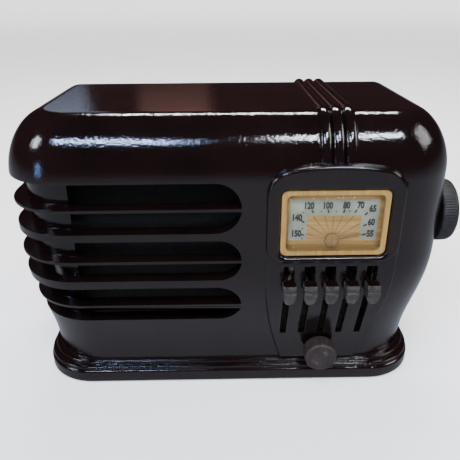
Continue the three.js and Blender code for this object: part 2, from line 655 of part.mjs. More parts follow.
// ---- volume control ----
const volumeControl = () => turned('y', CONTROL_X, VOLUME.z, [
  [VOLUME.radius + GAP, 30.5], [4.5, 30.5], [4.5, CHASSIS.front + 1.5], [11, CHASSIS.front + 1.5],
  [11, 56], [0, 56], [0, 46], [VOLUME.radius + GAP, 46], [VOLUME.radius + GAP, 30.5],
], 20);

const volumeShaft = () => rod('y', CONTROL_X, VOLUME.z, VOLUME.radius, 9.3, 45.5, 12);

const volumeKnob = () => turned('y', CONTROL_X, VOLUME.z, [
  [0, VOLUME.face], [VOLUME.knob - 1.6, VOLUME.face], [VOLUME.knob - 0.3, VOLUME.face + 1.2],
  [VOLUME.knob, VOLUME.rear - 2], [VOLUME.knob - 1, VOLUME.rear],
  [VOLUME.radius + GAP, VOLUME.rear], [VOLUME.radius + GAP, 9], [0, 9],
], 24);

// ---- pieces on the chassis ----
function tube(x) {
  const base = CHASSIS.top + GAP;
  const { radius, height } = TUBE;
  return turned('z', x, TUBE.y, [
    [0, base], [radius, base], [radius, base + 16], [radius - 1, base + 17],
    [radius - 0.8, base + height - 12], [radius - 4, base + height - 4],
    [5, base + height], [0, base + height],
  ], 16);
}

const transformerCan = () => {
  const base = CHASSIS.top + GAP;
  return box(70, 96, 104, 124, base, base + 52);
};

function outputTransformer() {
  const base = CHASSIS.top + GAP;
  return geometryOf(solid(box(108, 118, 88, 122, base, base + 30))
    .add(solid(box(102, 124, 96, 114, base + 4, base + 26))));
}

// ---- materials and assembly ----
const finish = (color, roughness, metalness = 0) => ({ color, roughness, metalness });
const FINISHES = {
  bakelite: finish('#120c0c', 0.12),
  board: finish('#4a3522', 0.85),
  steel: finish('#8d8f90', 0.45, 0.9),
  plated: finish('#a9aaa6', 0.35, 0.9),
  rubber: finish('#141414', 0.8),
  cloth: finish('#1b1614', 0.95),
  paper: finish('#241f1c', 0.9),
  gold: finish('#c9ad72', 0.4, 0.5),
  clear: finish('#f2efe0', 0.1),
  ivory: finish('#c7b98c', 0.6),
  needle: finish('#5a3a26', 0.5),
  capGrey: finish('#6f6862', 0.6),
  brown: finish('#4a4040', 0.7),
  charcoal: finish('#2a2728', 0.65),
  glass: finish('#3a3a3c', 0.1),
};

const radio = new THREE.Group();

function add(name, geometry, key) {
  const mesh = new THREE.Mesh(geometry, new THREE.MeshStandardMaterial(FINISHES[key]));
  mesh.name = name;
  radio.add(mesh);
}

add('cabinet_shell', cabinetShell(), 'bakelite');
add('back_cover', backCover(), 'board');
coverScrews.forEach(([x, z], i) => add(`back_cover_screw_${i + 1}`, screw(x, z), 'plated'));
add('cord_grommet', grommet(), 'rubber');
const footX = HALF_WIDTH - 31;
[[-footX, 48], [footX, 48], [-footX, BACK - 22], [footX, BACK - 22]]
  .forEach(([x, y], i) => add(`foot_${i + 1}`, foot(x, y), 'rubber'));
add('grille_cloth', grilleCloth(), 'cloth');
add('speaker_baffle', speakerBaffle(), 'board');
baffleStuds.forEach(([x, z], i) => add(`baffle_nut_${i + 1}`, nut(x, z), 'steel'));
add('speaker_frame', speakerFrame(), 'steel');
add('speaker_cone', speakerCone(), 'paper');
add('speaker_magnet', speakerMagnet(), 'steel');
add('chassis', chassis(), 'plated');
chassisBolts.forEach(([x, y], i) => add(`chassis_bolt_${i + 1}`, bolt(x, y), 'steel'));
add('tuning_capacitor_frame', capacitorFrame(), 'plated');
add('tuning_capacitor_stator', capacitorStator(), 'plated');
add('tuning_capacitor_rotor', capacitorRotor(), 'plated');
add('tuning_shaft', tuningShaft(), 'steel');
add('tuning_knob', tuningKnob(), 'charcoal');
add('tuning_bevel_gear', tuningBevelGear(), 'gold');
add('pointer_bevel_gear', pointerBevelGear(), 'gold');
add('pointer_shaft', pointerShaft(), 'steel');
add('dial_pointer', dialPointer(), 'needle');
add('dial_scale', dialScale(), 'ivory');
add('dial_escutcheon', dialEscutcheon(), 'gold');
add('dial_lens', dialLens(), 'clear');
add('lever_frame', leverFrame(), 'plated');
add('lever_pivot_rod', leverPivotRod(), 'steel');
for (let i = 0; i < LEVER.count; i += 1) {
  add(`lever_arm_${i + 1}`, leverArm(leverX(i)), 'steel');
  add(`lever_cap_${i + 1}`, leverCap(leverX(i)), 'capGrey');
}
add('volume_control', volumeControl(), 'plated');
add('volume_shaft', volumeShaft(), 'steel');
add('volume_knob', volumeKnob(), 'brown');
for (let i = 0; i < TUBE.count; i += 1) add(`tube_${i + 1}`, tube(TUBE.x + i * TUBE.pitch), 'glass');
add('transformer_can', transformerCan(), 'plated');
add('output_transformer', outputTransformer(), 'steel');

// origin at the bottom centre of the bounding box
const bounds = new THREE.Box3().setFromObject(radio);
const centre = bounds.getCenter(new THREE.Vector3());
radio.position.set(-centre.x, -centre.y, -bounds.min.z);
radio.updateMatrixWorld(true);

export default radio;
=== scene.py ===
"""Looks of a tabletop radio: moulded cabinet, louvres, dial, press levers and knobs.

Shapes are worked out in millimetres in a design frame (x = 0 on the cabinet's centre line, y = 0 on the
front at the dial, z = 0 on the table, front facing -Y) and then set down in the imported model's frame.
"""
import math

import bmesh
import bpy
import numpy as np
from mathutils import Matrix, Vector


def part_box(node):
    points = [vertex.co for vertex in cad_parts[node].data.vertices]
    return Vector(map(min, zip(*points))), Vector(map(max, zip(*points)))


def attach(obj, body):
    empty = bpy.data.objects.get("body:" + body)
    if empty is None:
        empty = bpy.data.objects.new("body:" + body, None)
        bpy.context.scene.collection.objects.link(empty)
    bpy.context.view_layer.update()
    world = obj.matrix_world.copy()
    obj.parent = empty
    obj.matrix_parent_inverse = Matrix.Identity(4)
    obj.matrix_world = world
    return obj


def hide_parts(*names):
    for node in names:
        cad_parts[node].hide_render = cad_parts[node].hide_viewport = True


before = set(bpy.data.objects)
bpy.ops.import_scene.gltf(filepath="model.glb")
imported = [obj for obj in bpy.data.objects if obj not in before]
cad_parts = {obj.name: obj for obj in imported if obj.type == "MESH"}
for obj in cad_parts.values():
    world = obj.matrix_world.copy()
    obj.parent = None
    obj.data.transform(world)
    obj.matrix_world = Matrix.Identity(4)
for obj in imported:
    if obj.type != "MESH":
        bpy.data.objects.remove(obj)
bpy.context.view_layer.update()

# ---- driving dimensions, millimetres ----
HALF_WIDTH = 155
TOP = 219
BACK = 140
SHOULDER_Z = 177
BULLNOSE = 28
SHOULDER = 30
BULLNOSE_POWER = 1.8
CORNER = 45
TUCK_Z = 118
FRONT_TUCK = 24.5
SIDE_TUCK = 6.5
WAIST_Z = 19
PLINTH_HALF = 154
PLINTH_FRONT = 17.5
PLINTH_CORNER = 40
WALL = 4
FLOOR_UNDER = 5
FLOOR_TOP = 9
LOUVRES = [(142.2, 177.4, 158.7), (105.2, 136.2, 120.2), (64, 97.7, 79.6)]   # bottom, top, blade
LOUVRE_RIGHT = 8
LOUVRE_THROUGH = -108
LOUVRE_BACK = 88
BLADE = 2.6
RECESS = 10
BLOCK = 12
CONTROL_X = 70
RIB_PITCH = 8.2
RIB_WIDTH = 8
RIB_HEIGHT = 3
BEZEL_LEFT = 24.5
BEZEL_RIGHT = 115.5
BEZEL_BOTTOM = 120
BEZEL_TOP = 183.5
BEZEL_CROWN = 6.5
BEZEL_CORNER = 13
WINDOW = {"width": 73, "height": 48.6, "z": 149, "corner": 5}
SHIELD_HALF = 45.2
SHIELD_TAPER = 15.5
SHIELD_PROUD = 1.5
SLOT_WIDTH = 4.6
SLOT_BOTTOM = 47
SLOT_TOP = 108
SLOT_HEAD = 7.2
SLOT_HEAD_TOP = 116.5
LEVER_PITCH = 14.5
LEVER_X = [CONTROL_X + (i - 2) * LEVER_PITCH for i in range(5)]
CAP_Z = 98
CAP_LENGTH = 16.5
CAP_WIDTH = 9.2
TUNING_Y = 55
TUNING_Z = 135
POINTER_Z = 134.5
VOLUME_Z = 32
CLOTH_Y = 30
COVER_Y = 134.5
CHASSIS_TOP = 48
TUNING_RADIUS = 24
GRILLE = {"left": -114, "right": 11, "bottom": 62, "top": 182, "pitch": 2.4}
SCREW_X = 139
SCREW_HEIGHTS = (34, 150)
TUBE_COUNT = 5
TUBE_LEFT = -105
TUBE_PITCH = 37
TUBE_Y = 111
FLOOR_SIDES = 64
SENSOR = 36
LENS_SHARE = 1.11     # focal length over the picture's width
CAMERA_PITCH = 24.97
CAMERA_YAW = 0.72
CAMERA_ROLL = -0.40
CAMERA_PLACE = (-3.74, -310.07, 289.16)

LOW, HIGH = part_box("cabinet_shell")
ORIGIN = Vector((LOW.x + HALF_WIDTH / 1000, HIGH.y - BACK / 1000, 0))
TO_FRAME = Matrix.Translation(ORIGIN) @ Matrix.Scale(0.001, 4)


# ---- mesh helpers ----
def clamp01(t):
    return min(1, max(0, t))


def new_object(name, vertices, faces, outward=True):
    mesh = bpy.data.meshes.new(name)
    mesh.from_pydata([tuple(v) for v in vertices], [], faces)
    if outward:
        work = bmesh.new()
        work.from_mesh(mesh)
        bmesh.ops.recalc_face_normals(work, faces=work.faces)
        work.to_mesh(mesh)
        work.free()
    obj = bpy.data.objects.new(name, mesh)
    bpy.context.scene.collection.objects.link(obj)
    return obj


def skin(name, rings, closed=False):
    """A surface over closed rings of equal point counts, capped at both ends unless it closes on itself."""
    count = len(rings[0])
    vertices = [p for ring in rings for p in ring]
    faces = []
    for r in range(len(rings) if closed else len(rings) - 1):
        low = r * count
        high = ((r + 1) % len(rings)) * count
        for i in range(count):
            j = (i + 1) % count
            faces.append((low + i, low + j, high + j, high + i))
    if not closed:
        faces.append(tuple(reversed(range(count))))
        last = (len(rings) - 1) * count
        faces.append(tuple(last + i for i in range(count)))
    return new_object(name, vertices, faces)


def box(name, x0, x1, y0, y1, z0, z1):
    return skin(name, [[(x0, y0, z), (x1, y0, z), (x1, y1, z), (x0, y1, z)] for z in (z0, z1)])


def prism_y(name, outline, y0, y1):
    return skin(name, [[(x, y, z) for x, z in outline] for y in (y0, y1)])


def prism_x(name, outline, x0, x1):
    return skin(name, [[(x, y, z) for y, z in outline] for x in (x0, x1)])


def lathe(name, axis, a, b, profile, sides=64, wobble=None):
    """Turned piece from [radius, station] pairs; closed where both ends are on the axis or meet."""
    rings = []
    for k, (radius, station) in enumerate(profile):
        ring = []
        for i in range(sides):
            angle = 2 * math.pi * i / sides
            r = max(radius, 0.02) * (wobble(angle, k) if wobble else 1)
            u = r * math.cos(angle)
            v = r * math.sin(angle)
            if axis == "x":
                ring.append((station, a + u, b + v))
            elif axis == "y":
                ring.append((a + u, station, b + v))
            else:
                ring.append((a + u, b + v, station))
        rings.append(ring)
    closed = profile[0] == profile[-1]
    return skin(name, rings[:-1] if closed else rings, closed)


def bake(obj):
    """Makes an object's modifiers part of its mesh."""
    bpy.context.view_layer.update()
    evaluated = obj.evaluated_get(bpy.context.evaluated_depsgraph_get())
    mesh = bpy.data.meshes.new_from_object(evaluated)
    obj.modifiers.clear()
    obj.data = mesh
    return obj


def combine(target, tool, operation):
    modifier = target.modifiers.new("combine", "BOOLEAN")
    modifier.operation = operation
    modifier.object = tool
    modifier.solver = "EXACT"
    bake(target)
    bpy.data.objects.remove(tool)
    return target


def join(name, pieces):
    """One object from several that don't touch."""
    work = bmesh.new()
    for piece in pieces:
        work.from_mesh(piece.data)
        bpy.data.objects.remove(piece)
    mesh = bpy.data.meshes.new(name)
    work.to_mesh(mesh)
    work.free()
    obj = bpy.data.objects.new(name, mesh)
    bpy.context.scene.collection.objects.link(obj)
    return obj


def tidy(obj, merge=0.02, flat=0.4):
    work = bmesh.new()
    work.from_mesh(obj.data)
    bmesh.ops.remove_doubles(work, verts=work.verts, dist=merge)
    bmesh.ops.dissolve_degenerate(work, edges=work.edges, dist=merge)
    bmesh.ops.dissolve_limit(work, angle_limit=math.radians(flat), verts=work.verts, edges=work.edges)
    work.to_mesh(obj.data)
    work.free()
    return obj


def bevel(obj, width, segments=2, angle=32):
    modifier = obj.modifiers.new("edges", "BEVEL")
    modifier.width = width
    modifier.segments = segments
    modifier.limit_method = "ANGLE"
    modifier.angle_limit = math.radians(angle)
    modifier.use_clamp_overlap = False
    modifier.miter_outer = "MITER_ARC"
    return bake(obj)


def smooth(obj, angle=38, surface=None):
    """Rounded shading across edges flatter than the angle, large faces counting most.
    surface(points) gives the true normals and distances of a known curved form."""
    mesh = obj.data
    mesh.shade_smooth()
    normals = np.zeros(len(mesh.polygons) * 3)
    mesh.polygons.foreach_get("normal", normals)
    normals = normals.reshape(-1, 3)
    areas = np.zeros(len(mesh.polygons))
    mesh.polygons.foreach_get("area", areas)
    corners = np.zeros(len(mesh.loops), int)
    mesh.loops.foreach_get("vertex_index", corners)
    owner = np.zeros(len(mesh.loops), int)
    for polygon in mesh.polygons:
        start = polygon.loop_start
        owner[start:start + polygon.loop_total] = polygon.index
    around = [[] for _ in mesh.vertices]
    for loop, vertex in enumerate(corners):
        around[vertex].append(owner[loop])
    limit = math.cos(math.radians(angle))
    result = np.zeros((len(corners), 3))
    for loop, vertex in enumerate(corners):
        own = normals[owner[loop]]
        near = around[vertex]
        share = normals[near]
        keep = share @ own > limit
        result[loop] = (share[keep] * areas[near][keep][:, None]).sum(0)
    length = np.linalg.norm(result, axis=1)
    bad = length < 1e-12
    result[bad] = normals[owner[bad]]
    length[bad] = 1
    result /= length[:, None]
    if surface:
        places = np.zeros(len(mesh.vertices) * 3)
        mesh.vertices.foreach_get("co", places)
        true, distance = surface(places.reshape(-1, 3))
        true = true[corners]
        fits = (np.abs(distance[corners]) < 0.12) & ((true * normals[owner]).sum(1) > 0.93)
        result[fits] = true[fits]
    mesh.normals_split_custom_set([tuple(n) for n in result])
    return obj


def settle(obj, material, body="cabinet", replaces=()):
    """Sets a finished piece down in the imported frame, on its body, with its finish."""
    obj.data.transform(TO_FRAME)
    obj.data.materials.clear()
    obj.data.materials.append(material)
    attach(obj, body)
    if replaces:
        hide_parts(*replaces)
    return obj


# ---- materials ----
class Finish:
    """A node material: colour that varies, roughness that varies and a fine bump."""

    def __init__(self, name):
        self.material = bpy.data.materials.new(name)
        self.material.use_nodes = True
        self.tree = self.material.node_tree
        self.shader = self.tree.nodes["Principled BSDF"]
        coordinates = self.tree.nodes.new("ShaderNodeTexCoord")
        self.place = coordinates.outputs["Object"]

    def set(self, **sockets):
        for key, value in sockets.items():
            self.shader.inputs[key.replace("_", " ")].default_value = value
        return self

    def link(self, a, b):
        self.tree.links.new(a, b)

    def noise(self, scale, detail=4, roughness=0.6, stretch=None):
        node = self.tree.nodes.new("ShaderNodeTexNoise")
        node.inputs["Scale"].default_value = scale
        node.inputs["Detail"].default_value = detail
        node.inputs["Roughness"].default_value = roughness
        if stretch:
            mapping = self.tree.nodes.new("ShaderNodeMapping")
            mapping.inputs["Scale"].default_value = stretch
            self.link(self.place, mapping.inputs["Vector"])
            self.link(mapping.outputs["Vector"], node.inputs["Vector"])
        else:
            self.link(self.place, node.inputs["Vector"])
        return node.outputs["Fac"]

    def cells(self, scale):
        node = self.tree.nodes.new("ShaderNodeTexVoronoi")
        node.inputs["Scale"].default_value = scale
        self.link(self.place, node.inputs["Vector"])
        return node.outputs["Distance"]

    def weave(self, pitch, axes=("X", "Z")):
        """Over-and-under thread pattern, one thread a pitch wide."""
        bands = []
        for axis in axes:
            wave = self.tree.nodes.new("ShaderNodeTexWave")
            wave.wave_type = "BANDS"
            wave.bands_direction = axis
            wave.inputs["Scale"].default_value = 0.314 / pitch
            wave.inputs["Distortion"].default_value = 0.3
            self.link(self.place, wave.inputs["Vector"])
            bands.append(wave.outputs["Fac"])
        both = self.tree.nodes.new("ShaderNodeMath")
        both.operation = "MULTIPLY"
        self.link(bands[0], both.inputs[0])
        self.link(bands[1], both.inputs[1])
        return both.outputs[0]

    def ramp(self, source, stops):
        node = self.tree.nodes.new("ShaderNodeValToRGB")
        band = node.color_ramp
        for element, (at, colour) in zip(band.elements, (stops[0], stops[-1])):
            element.position = at
            element.color = (*colour, 1)
        for at, colour in stops[1:-1]:
            element = band.elements.new(at)
            element.color = (*colour, 1)
        self.link(source, node.inputs["Fac"])
        return node.outputs["Color"]

    def range(self, source, low, high, start=0.3, end=0.7):
        node = self.tree.nodes.new("ShaderNodeMapRange")
        node.inputs["From Min"].default_value = start
        node.inputs["From Max"].default_value = end
        node.inputs["To Min"].default_value = low
        node.inputs["To Max"].default_value = high
        self.link(source, node.inputs["Value"])
        return node.outputs["Result"]

    def colour(self, output):
        self.link(output, self.shader.inputs["Base Color"])
        return self

    def rough(self, output):
        self.link(output, self.shader.inputs["Roughness"])
        return self

    def bump(self, source, strength, distance):
        node = self.tree.nodes.new("ShaderNodeBump")
        node.inputs["Strength"].default_value = strength
        node.inputs["Distance"].default_value = distance
        self.link(source, node.inputs["Height"])
        if getattr(self, "last_bump", None):
            self.link(self.last_bump, node.inputs["Normal"])
        self.last_bump = node.outputs["Normal"]
        self.link(self.last_bump, self.shader.inputs["Normal"])
        return self

    def wear(self, base, bare, amount=0.06):
        """Edges and high spots rubbed to a paler tone, broken up by noise."""
        geometry = self.tree.nodes.new("ShaderNodeNewGeometry")
        edge = self.range(geometry.outputs["Pointiness"], 0, 1, 0.52, 0.52 + amount)
        patches = self.range(self.noise(260, 5), 0, 1, 0.4, 0.7)
        both = self.tree.nodes.new("ShaderNodeMath")
        both.operation = "MULTIPLY"
        self.link(edge, both.inputs[0])
        self.link(patches, both.inputs[1])
        mix = self.tree.nodes.new("ShaderNodeMix")
        mix.data_type = "RGBA"
        self.link(both.outputs[0], mix.inputs["Factor"])
        self.link(base, mix.inputs["A"])
        mix.inputs["B"].default_value = (*bare, 1)
        return mix.outputs["Result"]


def two_tone(name, dark, light, scale, rough, bump=None, metallic=0.0, stretch=None, **sockets):
    finish = Finish(name)
    finish.set(Metallic=metallic, **sockets)
    source = finish.noise(scale, stretch=stretch)
    finish.colour(finish.ramp(source, [(0.35, dark), (0.65, light)]))
    finish.rough(finish.range(finish.noise(scale * 2.7, stretch=stretch), rough[0], rough[1]))
    if bump:
        finish.bump(finish.noise(bump[0], stretch=stretch), bump[1], bump[2])
    return finish.material


def bakelite():
    """Polished black-brown phenolic: faint swirl in the colour, uneven gloss and a fine bump."""
    finish = Finish("bakelite")
    finish.set(IOR=1.6)
    swirl = finish.noise(22, 6, 0.65)
    finish.colour(finish.ramp(swirl, [(0.3, (0.0020, 0.0012, 0.0013)), (0.7, (0.0055, 0.0024, 0.0024))]))
    haze = finish.noise(38, 6, 0.7)
    finish.rough(finish.range(haze, 0.045, 0.11, 0.3, 0.75))
    finish.bump(finish.noise(90, 2, 0.5), 0.12, 0.0004)
    finish.bump(finish.noise(640, 2, 0.5), 0.5, 0.00024)
    return finish.material


def worn_phenolic(name, dark, light, bare, rough=(0.45, 0.68)):
    finish = Finish(name)
    finish.set(IOR=1.5)
    tone = finish.ramp(finish.noise(180, 6, 0.7), [(0.32, dark), (0.68, light)])
    finish.colour(finish.wear(tone, bare))
    finish.rough(finish.range(finish.noise(320, 5), rough[0], rough[1]))
    finish.bump(finish.noise(900, 4), 0.35, 0.00025)
    finish.bump(finish.cells(1400), 0.12, 0.00012)
    return finish.material


def dial_board():
    """Gold-tan printed card with a fine horizontal grain."""
    finish = Finish("dial_board")
    finish.set(Metallic=0.25)
    grain = finish.noise(90, 5, 0.7, stretch=(0.12, 1, 3.2))
    finish.colour(finish.ramp(grain, [(0.3, (0.33, 0.18, 0.04)), (0.55, (0.49, 0.295, 0.075)),
                                      (0.75, (0.62, 0.42, 0.15))]))
    finish.rough(finish.range(finish.noise(200), 0.4, 0.6))
    finish.bump(grain, 0.15, 0.0001)
    return finish.material


def gold_frame():
    """Aged gold lacquer with vertical streaks, light and dark."""
    finish = Finish("gold_lacquer")
    finish.set(Metallic=0.35, IOR=1.5)
    brushed = finish.noise(60, 6, 0.7, stretch=(6, 1, 0.5))
    finish.colour(finish.ramp(brushed, [(0.3, (0.24, 0.135, 0.035)), (0.6, (0.37, 0.225, 0.07)),
                                        (0.8, (0.50, 0.345, 0.14))]))
    finish.rough(finish.range(finish.noise(150), 0.3, 0.5))
    finish.bump(brushed, 0.2, 0.00012)
    return finish.material


def clear_lens():
    """Thin clear moulding: lets the dial through and keeps its own gloss, stronger at its turned edges."""
    finish = Finish("clear_lens")
    finish.set(Metallic=1.0)
    finish.colour(finish.ramp(finish.noise(30), [(0.3, (0.90, 0.86, 0.74)), (0.7, (0.98, 0.97, 0.92))]))
    finish.rough(finish.range(finish.noise(70, 5), 0.05, 0.12))
    finish.bump(finish.noise(160, 4), 0.06, 0.0002)
    fresnel = finish.tree.nodes.new("ShaderNodeLayerWeight")
    fresnel.inputs["Blend"].default_value = 0.2
    strength = finish.range(fresnel.outputs["Fresnel"], 0.05, 1.0, 0.03, 0.9)
    finish.link(strength, finish.shader.inputs["Alpha"])
    return finish.material


def speaker_cloth():
    finish = Finish("speaker_cloth")
    finish.set(Sheen_Weight=0.04)
    weave = finish.weave(0.0012)
    # Near-black thread colour: a dark cloth, darkened further as painted shade for the shadowed space behind
    # the louvres.
    finish.colour(finish.ramp(weave, [(0.1, (0.002, 0.0015, 0.0015)), (0.7, (0.010, 0.0075, 0.006))]))
    finish.rough(finish.range(weave, 0.95, 0.75, 0, 1))
    finish.bump(weave, 0.6, 0.0004)
    return finish.material


def hardboard():
    finish = Finish("hardboard")
    fibres = finish.noise(420, 7, 0.75)
    blotch = finish.noise(16, 4)
    tone = finish.ramp(fibres, [(0.3, (0.075, 0.042, 0.022)), (0.7, (0.17, 0.10, 0.056))])
    mix = finish.tree.nodes.new("ShaderNodeMix")
    mix.data_type = "RGBA"
    mix.blend_type = "MULTIPLY"
    mix.inputs["Factor"].default_value = 0.6
    finish.link(tone, mix.inputs["A"])
    finish.link(finish.ramp(blotch, [(0.35, (0.5, 0.46, 0.42)), (0.65, (1, 1, 1))]), mix.inputs["B"])
    finish.colour(mix.outputs["Result"])
    finish.rough(finish.range(blotch, 0.72, 0.9))
    finish.bump(fibres, 0.5, 0.0003)
    return finish.material


BAKELITE = bakelite()
CAP = worn_phenolic("cap_phenolic", (0.013, 0.011, 0.011), (0.026, 0.023, 0.022), (0.08, 0.072, 0.068),
                    (0.18, 0.32))
BROWN = worn_phenolic("knob_brown", (0.009, 0.006, 0.0055), (0.020, 0.014, 0.013), (0.06, 0.045, 0.04))
CHARCOAL = worn_phenolic("knob_charcoal", (0.005, 0.0045, 0.005), (0.011, 0.010, 0.0105),
                         (0.04, 0.036, 0.036), (0.4, 0.6))
DIAL_BOARD = dial_board()
BAND = two_tone("dial_band", (0.22, 0.25, 0.19), (0.30, 0.335, 0.265), 70, (0.45, 0.6), (500, 0.1, 0.0001),
                0.15)
INK = two_tone("dial_ink", (0.006, 0.006, 0.008), (0.02, 0.02, 0.022), 600, (0.4, 0.6))
RAY = two_tone("dial_ray", (0.20, 0.10, 0.025), (0.30, 0.165, 0.05), 300, (0.5, 0.6))
GOLD = gold_frame()
LENS = clear_lens()
CLOTH = speaker_cloth()
BOARD = hardboard()
STEEL = two_tone("plain_steel", (0.22, 0.215, 0.21), (0.36, 0.355, 0.345), 160, (0.28, 0.5),
                 (900, 0.15, 0.0001), 1.0)
ARM_STEEL = two_tone("lever_steel", (0.035, 0.033, 0.032), (0.085, 0.08, 0.078), 220, (0.35, 0.6),
                     (700, 0.2, 0.0001), 0.7)
PLATED = two_tone("plated_steel", (0.44, 0.43, 0.40), (0.60, 0.59, 0.56), 90, (0.3, 0.5),
                  (600, 0.15, 0.0001), 0.9)
GREY_ENAMEL = two_tone("grey_enamel", (0.10, 0.10, 0.105), (0.16, 0.16, 0.165), 60, (0.35, 0.5),
                       (500, 0.2, 0.0002))
ALUMINIUM = two_tone("aluminium", (0.62, 0.62, 0.63), (0.78, 0.78, 0.79), 120, (0.25, 0.4),
                     (800, 0.1, 0.0001), 1.0)
BRASS = two_tone("brass", (0.52, 0.36, 0.13), (0.72, 0.53, 0.22), 120, (0.25, 0.4), (700, 0.1, 0.0001), 1.0)
RUBBER = two_tone("rubber", (0.012, 0.012, 0.012), (0.03, 0.03, 0.03), 200, (0.7, 0.9), (900, 0.4, 0.0003))
PAPER = two_tone("cone_paper", (0.02, 0.018, 0.016), (0.045, 0.04, 0.036), 400, (0.85, 0.95),
                 (700, 0.6, 0.0004))
NEEDLE = two_tone("needle", (0.13, 0.055, 0.025), (0.20, 0.09, 0.04), 300, (0.3, 0.45), (900, 0.1, 0.0001))
TUBE_GLASS = two_tone("tube_glass", (0.10, 0.10, 0.105), (0.22, 0.22, 0.23), 60, (0.05, 0.14),
                      (300, 0.05, 0.0001), 0.3)
TUBE_BASE = two_tone("tube_base", (0.01, 0.008, 0.007), (0.03, 0.022, 0.018), 120, (0.3, 0.5),
                     (700, 0.2, 0.0002))


# ---- cabinet ----
def tuck(z):
    u = clamp01((TUCK_Z - z) / (TUCK_Z - WAIST_Z))
    return u * u * (3 - 2 * u)


def face_y(z):
    return FRONT_TUCK * tuck(z)


def outline(half, front, back, corner, z, steps):
    ring = []
    for side, start in ((-1, 180), (1, 270)):
        for i in range(steps + 1):
            angle = math.radians(start + 90 * i / steps)
            ring.append((side * (half - corner) + corner * math.cos(angle),
                         front + corner + corner * math.sin(angle), z))
    return [*ring, (half, back, z), (-half, back, z)]


def bullnose(t, rise):
    power = 2 / BULLNOSE_POWER
    angle = math.pi / 2 * t
    inset = 1 if t == 1 else 1 - math.cos(angle) ** power
    return inset, SHOULDER_Z + rise * math.sin(angle) ** power


def form_ring(z, nose_inset, inset, back, steps):
    return outline(
        HALF_WIDTH - SIDE_TUCK * tuck(z) - inset - SHOULDER * nose_inset,
        face_y(z) + inset + BULLNOSE * nose_inset, back,
        max(CORNER - inset - BULLNOSE * nose_inset, 4), z, steps)


def form_rings(inset, bottom, back, steps=24):
    rings = [form_ring(bottom + (TUCK_Z - bottom) * i / 20, 0, inset, back, steps) for i in range(20)]
    rings += [form_ring(TUCK_Z + (SHOULDER_Z - TUCK_Z) * i / 3, 0, inset, back, steps) for i in range(3)]
    nose_steps = 22
    for i in range(nose_steps + 1):
        nose_inset, z = bullnose(i / nose_steps, TOP - inset - SHOULDER_Z)
        rings.append(form_ring(z, nose_inset, inset, back, steps))
    return rings


def plinth_rings(steps=24):
    """Upright band with a rolled foot, then two round beads up to the waist; [share of the step in, z]."""
    profile = [(0.10, 1.5), (0.02, 2.1), (0, 3.2), (0, 9.6), (0.02, 10.5), (0.08, 11.3), (0.17, 11.7),
               (0.17, 12.1)]
    for i in range(7):
        angle = math.radians(-80 + 160 * i / 6)
        profile.append((0.27 - 0.12 * math.cos(angle), 13.6 + 1.4 * math.sin(angle)))
    profile += [(0.50, 15.3)]
    for i in range(7):
        angle = math.radians(-80 + 160 * i / 6)
        profile.append((0.66 - 0.12 * math.cos(angle), 16.9 + 1.3 * math.sin(angle)))
    profile += [(0.92, 18.4)]
    waist_half = HALF_WIDTH - SIDE_TUCK
    return [outline(
        PLINTH_HALF + (waist_half - PLINTH_HALF) * k,
        PLINTH_FRONT + (FRONT_TUCK - PLINTH_FRONT) * k, BACK,
        PLINTH_CORNER + (CORNER - PLINTH_CORNER) * k, z, steps) for k, z in profile]


def form_surface(points):
    """Normals and rough distances of the outer form above the waist."""
    def distance(p):
        x, y, z = p.T
        u = np.clip((TUCK_Z - z) / (TUCK_Z - WAIST_Z), 0, 1)
        share = u * u * (3 - 2 * u)
        rise = np.clip((z - SHOULDER_Z) / (TOP - SHOULDER_Z), 0, 1)
        sine = rise ** (BULLNOSE_POWER / 2)
        nose = 1 - np.clip(1 - sine * sine, 0, 1) ** (1 / BULLNOSE_POWER)
        half = HALF_WIDTH - SIDE_TUCK * share - SHOULDER * nose
        front = FRONT_TUCK * share + BULLNOSE * nose
        corner = np.maximum(CORNER - BULLNOSE * nose, 4)
        dx = np.abs(x) - (half - corner)
        dy = (front + corner) - y
        outside = np.hypot(np.maximum(dx, 0), np.maximum(dy, 0))
        return outside + np.minimum(np.maximum(dx, dy), 0) - corner
    step = 0.02
    gradient = np.zeros_like(points)
    for axis in range(3):
        shift = np.zeros(3)
        shift[axis] = step
        gradient[:, axis] = distance(points + shift) - distance(points - shift)
    length = np.linalg.norm(gradient, axis=1)
    steep = length / (2 * step)
    length[length < 1e-9] = 1
    normals = gradient / length[:, None]
    away = distance(points) / np.maximum(steep, 0.2)
    low = (points[:, 2] < WAIST_Z + 0.6) | (points[:, 2] > TOP - 0.3)
    away[low] = 99
    return normals, away


def rounded_rect(x0, x1, z0, z1, r, steps=6):
    points = []
    for cx, cz, start in ((x1 - r, z0 + r, -90), (x1 - r, z1 - r, 0), (x0 + r, z1 - r, 90),
                          (x0 + r, z0 + r, 180)):
        for i in range(steps + 1):
            angle = math.radians(start + 90 * i / steps)
            points.append((cx + r * math.cos(angle), cz + r * math.sin(angle)))
    return points


def round_end(u0, u1, v0, v1, steps=20):
    r = (v1 - v0) / 2
    points = [(u0, v0)]
    for i in range(steps + 1):
        angle = math.radians(-90 + 180 * i / steps)
        points.append((u1 - r + r * math.cos(angle), v0 + r + r * math.sin(angle)))
    return [*points, (u0, v1)]


